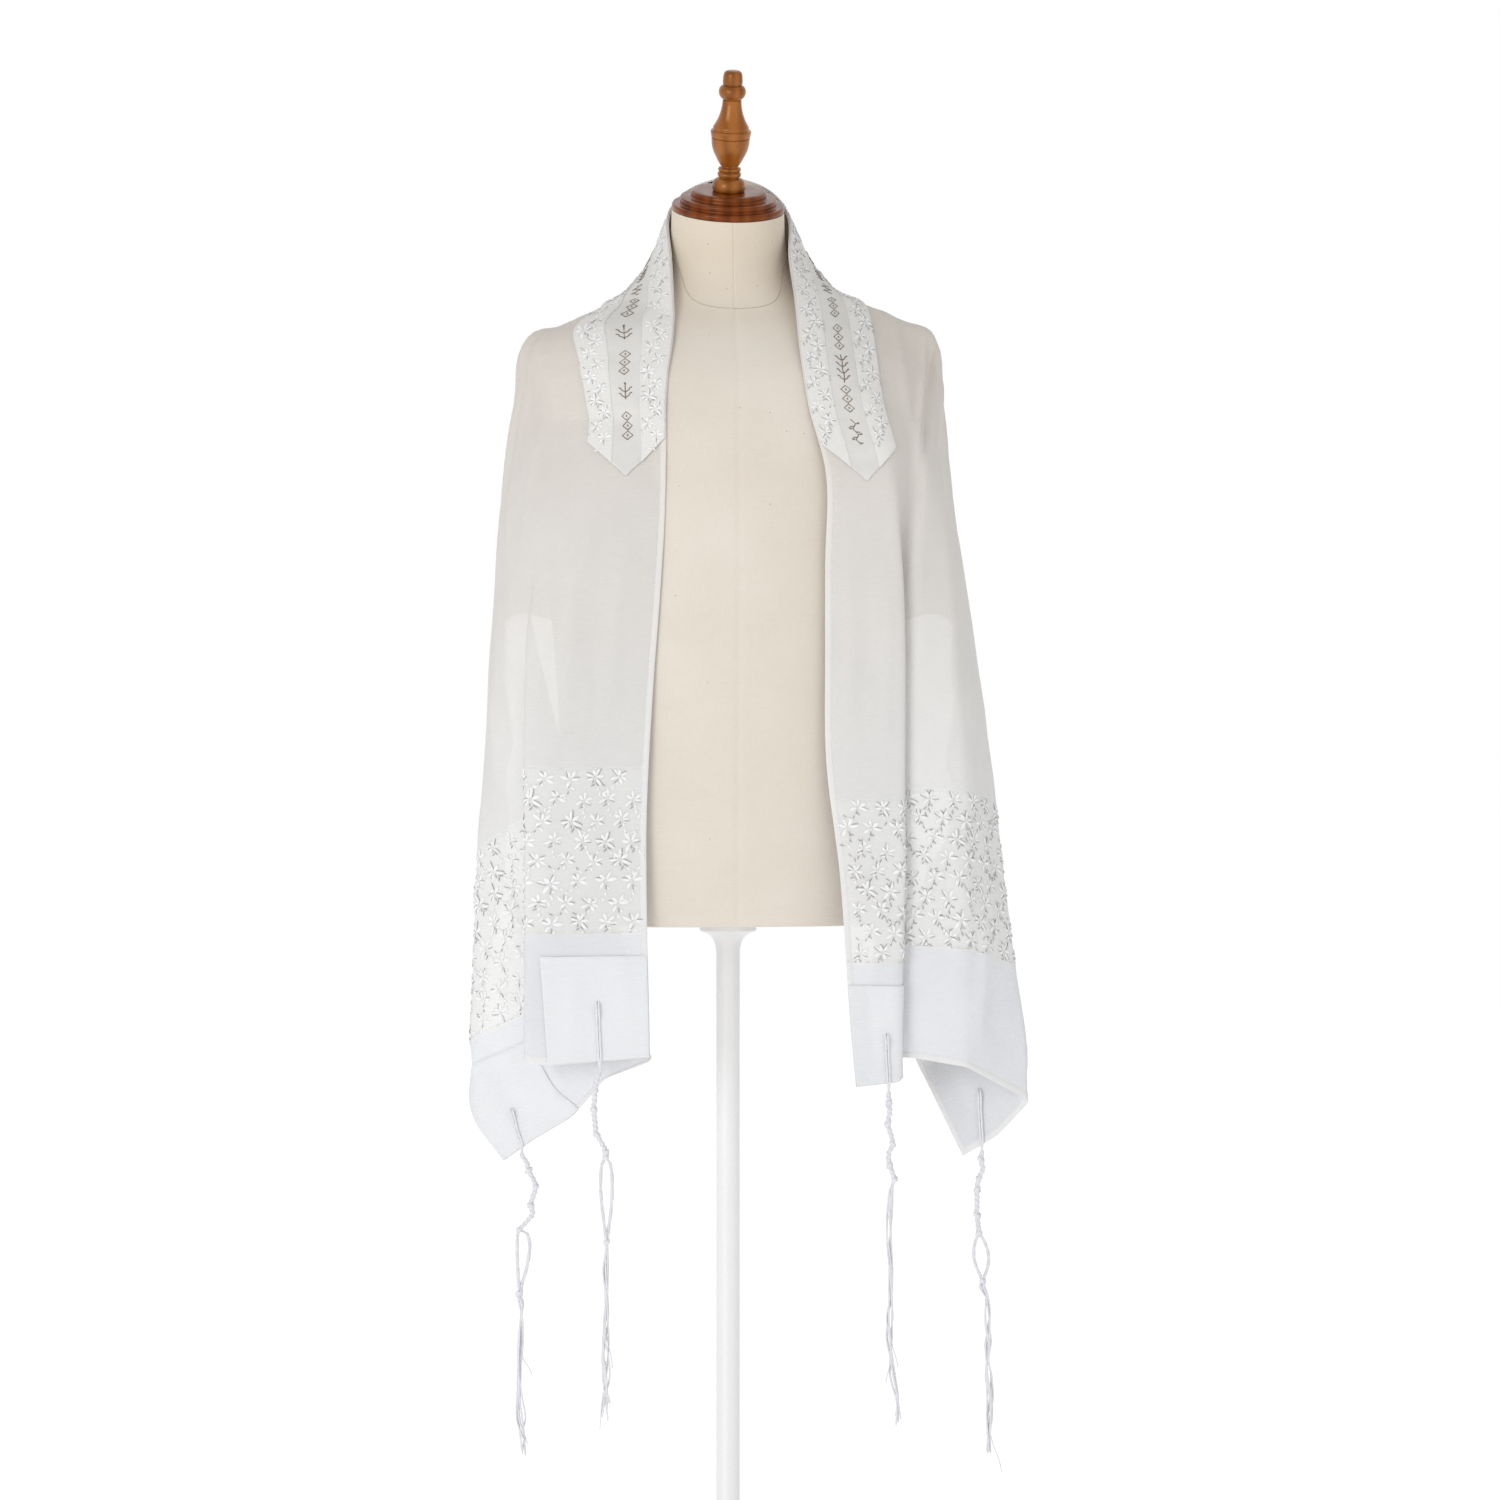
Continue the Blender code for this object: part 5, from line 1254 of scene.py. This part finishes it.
def tubeTree():   # a tube around each thread, as thick as its points say
    tree, given = newTree("threadTubes", ("Thread", "Material"), ("Sides", "Int", 6))

    def kept(curve, what):   # the curve, and how far along it each point lies
        node = tree.nodes.new("GeometryNodeCaptureAttribute")
        node.capture_items.new("FLOAT", what)
        fill(tree, node, {0: curve, 1: addNode(tree, "GeometryNodeSplineParameter").outputs[what]})
        return node.outputs

    thick = addNode(tree, "GeometryNodeInputNamedAttribute", {"Name": "thick"}, data_type="FLOAT").outputs[0]
    curve = addNode(tree, "GeometryNodeMeshToCurve", {0: given["Geometry"]}).outputs[0]
    run = kept(addNode(tree, "GeometryNodeSetCurveRadius", {0: curve, "Radius": thick}).outputs[0], "Length")
    ring = kept(addNode(tree, "GeometryNodeCurvePrimitiveCircle",
                        {"Resolution": given["Sides"], "Radius": 1.0}).outputs[0], "Factor")
    tube = addNode(tree, "GeometryNodeCurveToMesh",
                   {"Curve": run[0], "Profile Curve": ring[0], "Fill Caps": True})
    if "Scale" in tube.inputs:
        fill(tree, tube, {"Scale": thick})
    girth = addNode(tree, "ShaderNodeMath", {0: ring[1], 1: 0.0045}, operation="MULTIPLY").outputs[0]
    flat = addNode(tree, "ShaderNodeCombineXYZ", {0: run[1], 1: girth}).outputs[0]
    values = {"Geometry": tube.outputs[0], "Name": "flat", "Value": flat}
    stored = addNode(tree, "GeometryNodeStoreNamedAttribute", values, data_type="FLOAT2", domain="CORNER")
    return endTree(tree, stored.outputs[0], given["Thread"])


tubes = tubeTree()


class Threads:
    def __init__(self):
        self.verts, self.edges, self.thick = [], [], []

    def add(self, points, radius, ends=0.35):
        start, last = len(self.verts), len(points) - 1
        self.verts += [tuple(float(c) * mm for c in p) for p in points]
        self.edges += [(start + i, start + i + 1) for i in range(last)]
        self.thick += [radius * mm * (ends if i in (0, last) else 1.0) for i in range(last + 1)]

    def spin(self, name, mat):
        mesh = bpy.data.meshes.new(name)
        mesh.from_pydata(self.verts, self.edges, [])
        mesh.attributes.new("thick", "FLOAT", "POINT").data.foreach_set("value", self.thick)
        obj = runNodes(name, mesh, tubes, {"Thread": mat, "Sides": threadSize["sides"]})
        shade(obj.data, 80.0)
        return obj


def roundPath(points, step):   # even points on a smooth curve through the given ones
    p = np.array([tuple(q) for q in points], float)
    run = np.concatenate([[0], np.cumsum(np.maximum(np.linalg.norm(np.diff(p, axis=0), axis=1), 1e-3))])
    slopes = tangents(run, p)
    return [between(run, p, slopes, s) for s in np.linspace(0, run[-1], max(2, int(run[-1] / step)) + 1)]


def around(radius, angle, z=0.0):
    return np.array([radius * math.cos(angle), radius * math.sin(angle), z])


def makeTassel(name, spec):
    pick, size, work = random.Random(spec["seed"]), threadSize, Threads()
    side, face, loop, bunch = (spec[key] for key in ("side", "face", "loop", "bunch"))
    end = leftEnd if side < 0 else rightEnd
    upHole, vHole = spec["hole"]
    off = patchAt["high"] + size["above"] if face > 0 else size["behind"]
    lie = [cloth.at(side * (end - upHole * (1 - k)), vHole + (spec["hem"] - vHole) * k, face * off)
           for k in (0, 0.35, 0.7, 1.0)]
    drop = lie[-1] - (0, 0, size["drop"])
    x0, y0 = drop[:2]
    cord = [(np.array([x0 + dx, y0, z]), knot) for dx, z, knot in spec["cord"] if z < drop[2] - 3]
    hidden = cloth.at(side * (end - upHole - 2.5), vHole, -face)
    line = roundPath([hidden, *lie, drop, *(spot for spot, knot in cord)], size["step"])
    first = next(i for i, p in enumerate(line) if p[2] < drop[2] + 1)
    out = cloth.at(side * (end - 20), vHole, 5) - cloth.at(side * (end - 20), vHole)
    across = np.cross(line[min(6, len(line) - 1)] - line[2], out)
    across /= np.linalg.norm(across)   # from one to the other of the two plies that lie on the patch
    bunchTop = x0 + bunch[0][0]
    for k in range(size["count"]):
        half = -1 if k < size["count"] / 2 else 1
        wander = pick.uniform(0, 6.28)
        points = []
        for i, p in enumerate(line):
            if i < first:
                w = k * 1.6 + i * 0.9
                lay = across * half * size["lay"] * (1 - smooth(first - 6, first, i))
                points.append(p + lay + 0.35 * np.array([math.cos(w), 0, math.sin(w)]))
            else:
                points.append(p + around(size["core"], 2 * math.pi * k / size["count"] + size["twist"] * i))
        if loop:
            bottom, bow, skew = loop[0], loop[1 if half < 0 else 2], loop[3]
            for s in range(1, 14):
                t = s / 14
                x = line[-1][0] + (bunchTop - line[-1][0]) * t + half * bow * math.sin(math.pi * t**skew) ** 0.8
                z = line[-1][2] + (bottom - line[-1][2]) * t
                points.append(np.array([x, y0 + 0.6 * half, z]) + around(1.1, math.pi / 2 * (k % 4) + s * 0.5))
        trail = [(x0 + dx, z, spread) for dx, z, spread in bunch]
        x, z, spread = trail[-1]
        z -= spec["tail"] * pick.uniform(0.1, 1.0)
        trail.append((x + pick.uniform(-2.5, 2.5), z, spread * 1.4))
        loose = []
        for n, (x, z, spread) in enumerate(trail):
            turn = wander + n * 0.85 + pick.uniform(-0.5, 0.5)
            loose.append((x + spread * math.cos(turn) * pick.uniform(0.55, 1.0),
                          y0 + spread * math.sin(turn) * pick.uniform(0.55, 1.0), z))
        points += roundPath([points[-1], *loose], size["step"] * 1.2)[1:]
        work.add(points, size["radius"] * pick.uniform(0.88, 1.1))
    wound = size["core"] + size["winding"]   # around the threads between the knots
    work.add([p + around(wound, i * 1.05, 0.25 * wound * math.sin(i * 1.05))
              for i, p in enumerate(roundPath(line[first:], 0.9))], size["radius"] * 0.95)
    knots = [spot for spot, knot in cord if knot]
    if loop:
        knots.append(np.array([bunchTop, y0, loop[0] - 3]))
    for n, spot in enumerate(knots):
        tilt, heading = pick.uniform(0.25, 0.6) * pick.choice((-1, 1)), pick.uniform(0, 6.28)
        wide = size["knot"] * pick.uniform(0.85, 1.1)
        coil = []
        last = size["turns"] * size["perTurn"]
        for s in range(last + 1):
            p = around(wide, 2 * math.pi * s / size["perTurn"] + heading, (s / last - 0.5) * 3.6)
            coil.append(spot + p + (0, 0, tilt * p[0] * (1 if n % 2 else -1)))
        work.add(coil, size["radius"] * 1.15)
        over = [spot + around(wide * 1.05, heading + a * 0.55, a * 1.2 - 3.0) for a in range(6)]
        work.add(over, size["radius"] * 1.2)
    for z, dx, low in spec["stray"]:   # single threads that stand away
        x = x0 + np.interp(-z, [-b[1] for b in bunch], [b[0] for b in bunch])
        bends = ((0, 0, 0), (0.25, 0.8, 0.3), (0.75, 1.2, 0.7), (1, 0.6, 1))
        bent = [(x + dx * a, y0 - b, z - (z - low) * c) for a, b, c in bends]
        work.add(roundPath(bent, 2.5), size["radius"] * 0.6)
    obj = work.spin("tassel" + name, looks["wool"])
    settle(obj, "thread", "tassel_%s_%s" % (name[:-5].lower(), name[-5:].lower()))


for name, spec in tassels.items():
    makeTassel(name, spec)

# stitched eyelets where the threads come through
eyelets = Threads()
for spec in tassels.values():
    side, (up, v) = spec["side"], spec["hole"]
    u = side * ((leftEnd if side < 0 else rightEnd) - up)
    ring = [around(eyelet["radius"], 2 * math.pi * s / eyelet["points"]) for s in range(eyelet["points"] + 1)]
    lift = eyelet["front"] if spec["face"] > 0 else eyelet["back"]
    eyelets.add([cloth.at(u + x, v + y, lift) for x, y, z in ring], eyelet["thread"], 1.0)
settle(eyelets.spin("tasselEyelets", looks["whiteThread"]), "thread")
print("tassels tied")
# stage and light
studio = {"floor": 9.0, "corners": 64, "behind": 1.0, "front": 0.63, "shadeSide": 0.68, "key": 44.0,
          "fill": 3.0}


def makeStage():
    mesh = bpy.data.meshes.new("studioFloor")
    r, n = studio["floor"], studio["corners"]
    turns = [2 * math.pi * i / n for i in range(n)]
    mesh.from_pydata([(r * math.cos(w), r * math.sin(w), -0.0005) for w in turns], [], [tuple(range(n))])
    mesh.materials.append(Finish("studioFloor").done({
        "Base Color": (0.1, 0.1, 0.1, 1), "Roughness": 0.9, "Emission Color": (1, 1, 1, 1),
        "Emission Strength": 0.95}))
    addObject("studioFloor", mesh)


def addArea(name, place, size, power):   # aimed at the middle of the shawl
    data = bpy.data.lights.new(name, "AREA")
    data.shape = "RECTANGLE"
    data.size, data.size_y = size
    data.energy = power
    lamp = addObject(name, data)
    lamp.location = place
    lamp.rotation_euler = (Vector((0, 0, 1.0)) - Vector(place)).to_track_quat("-Z", "Y").to_euler()


def lightWorld():   # white behind the object, softer in front, softest towards +X
    scene.world = bpy.data.worlds.new("whiteStudio")
    scene.world.use_nodes = True
    tree = scene.world.node_tree
    way = addNode(tree, "ShaderNodeTexCoord").outputs["Generated"]
    way = addNode(tree, "ShaderNodeSeparateXYZ", {0: way}).outputs
    back = addNode(tree, "ShaderNodeMapRange", {0: way[1], 1: 0.35, 2: 0.8}).outputs[0]
    side = addNode(tree, "ShaderNodeMapRange",
                   {0: way[0], 1: -0.3, 2: 0.7, 3: studio["front"], 4: studio["shadeSide"]})
    level = addNode(tree, "ShaderNodeMix", {0: back, 2: side.outputs[0], 3: studio["behind"]}).outputs[0]
    fill(tree, tree.nodes["Background"], {0: (1, 1, 1, 1), 1: level})


makeStage()
addArea("softKey", (-2.0, -3.2, 1.5), (1.8, 2.2), studio["key"])
addArea("softFill", (2.4, -2.2, 1.6), (1.2, 1.6), studio["fill"])
lightWorld()
scene.view_settings.view_transform = "Standard"
scene.view_settings.look = "None"
print("stage lit")
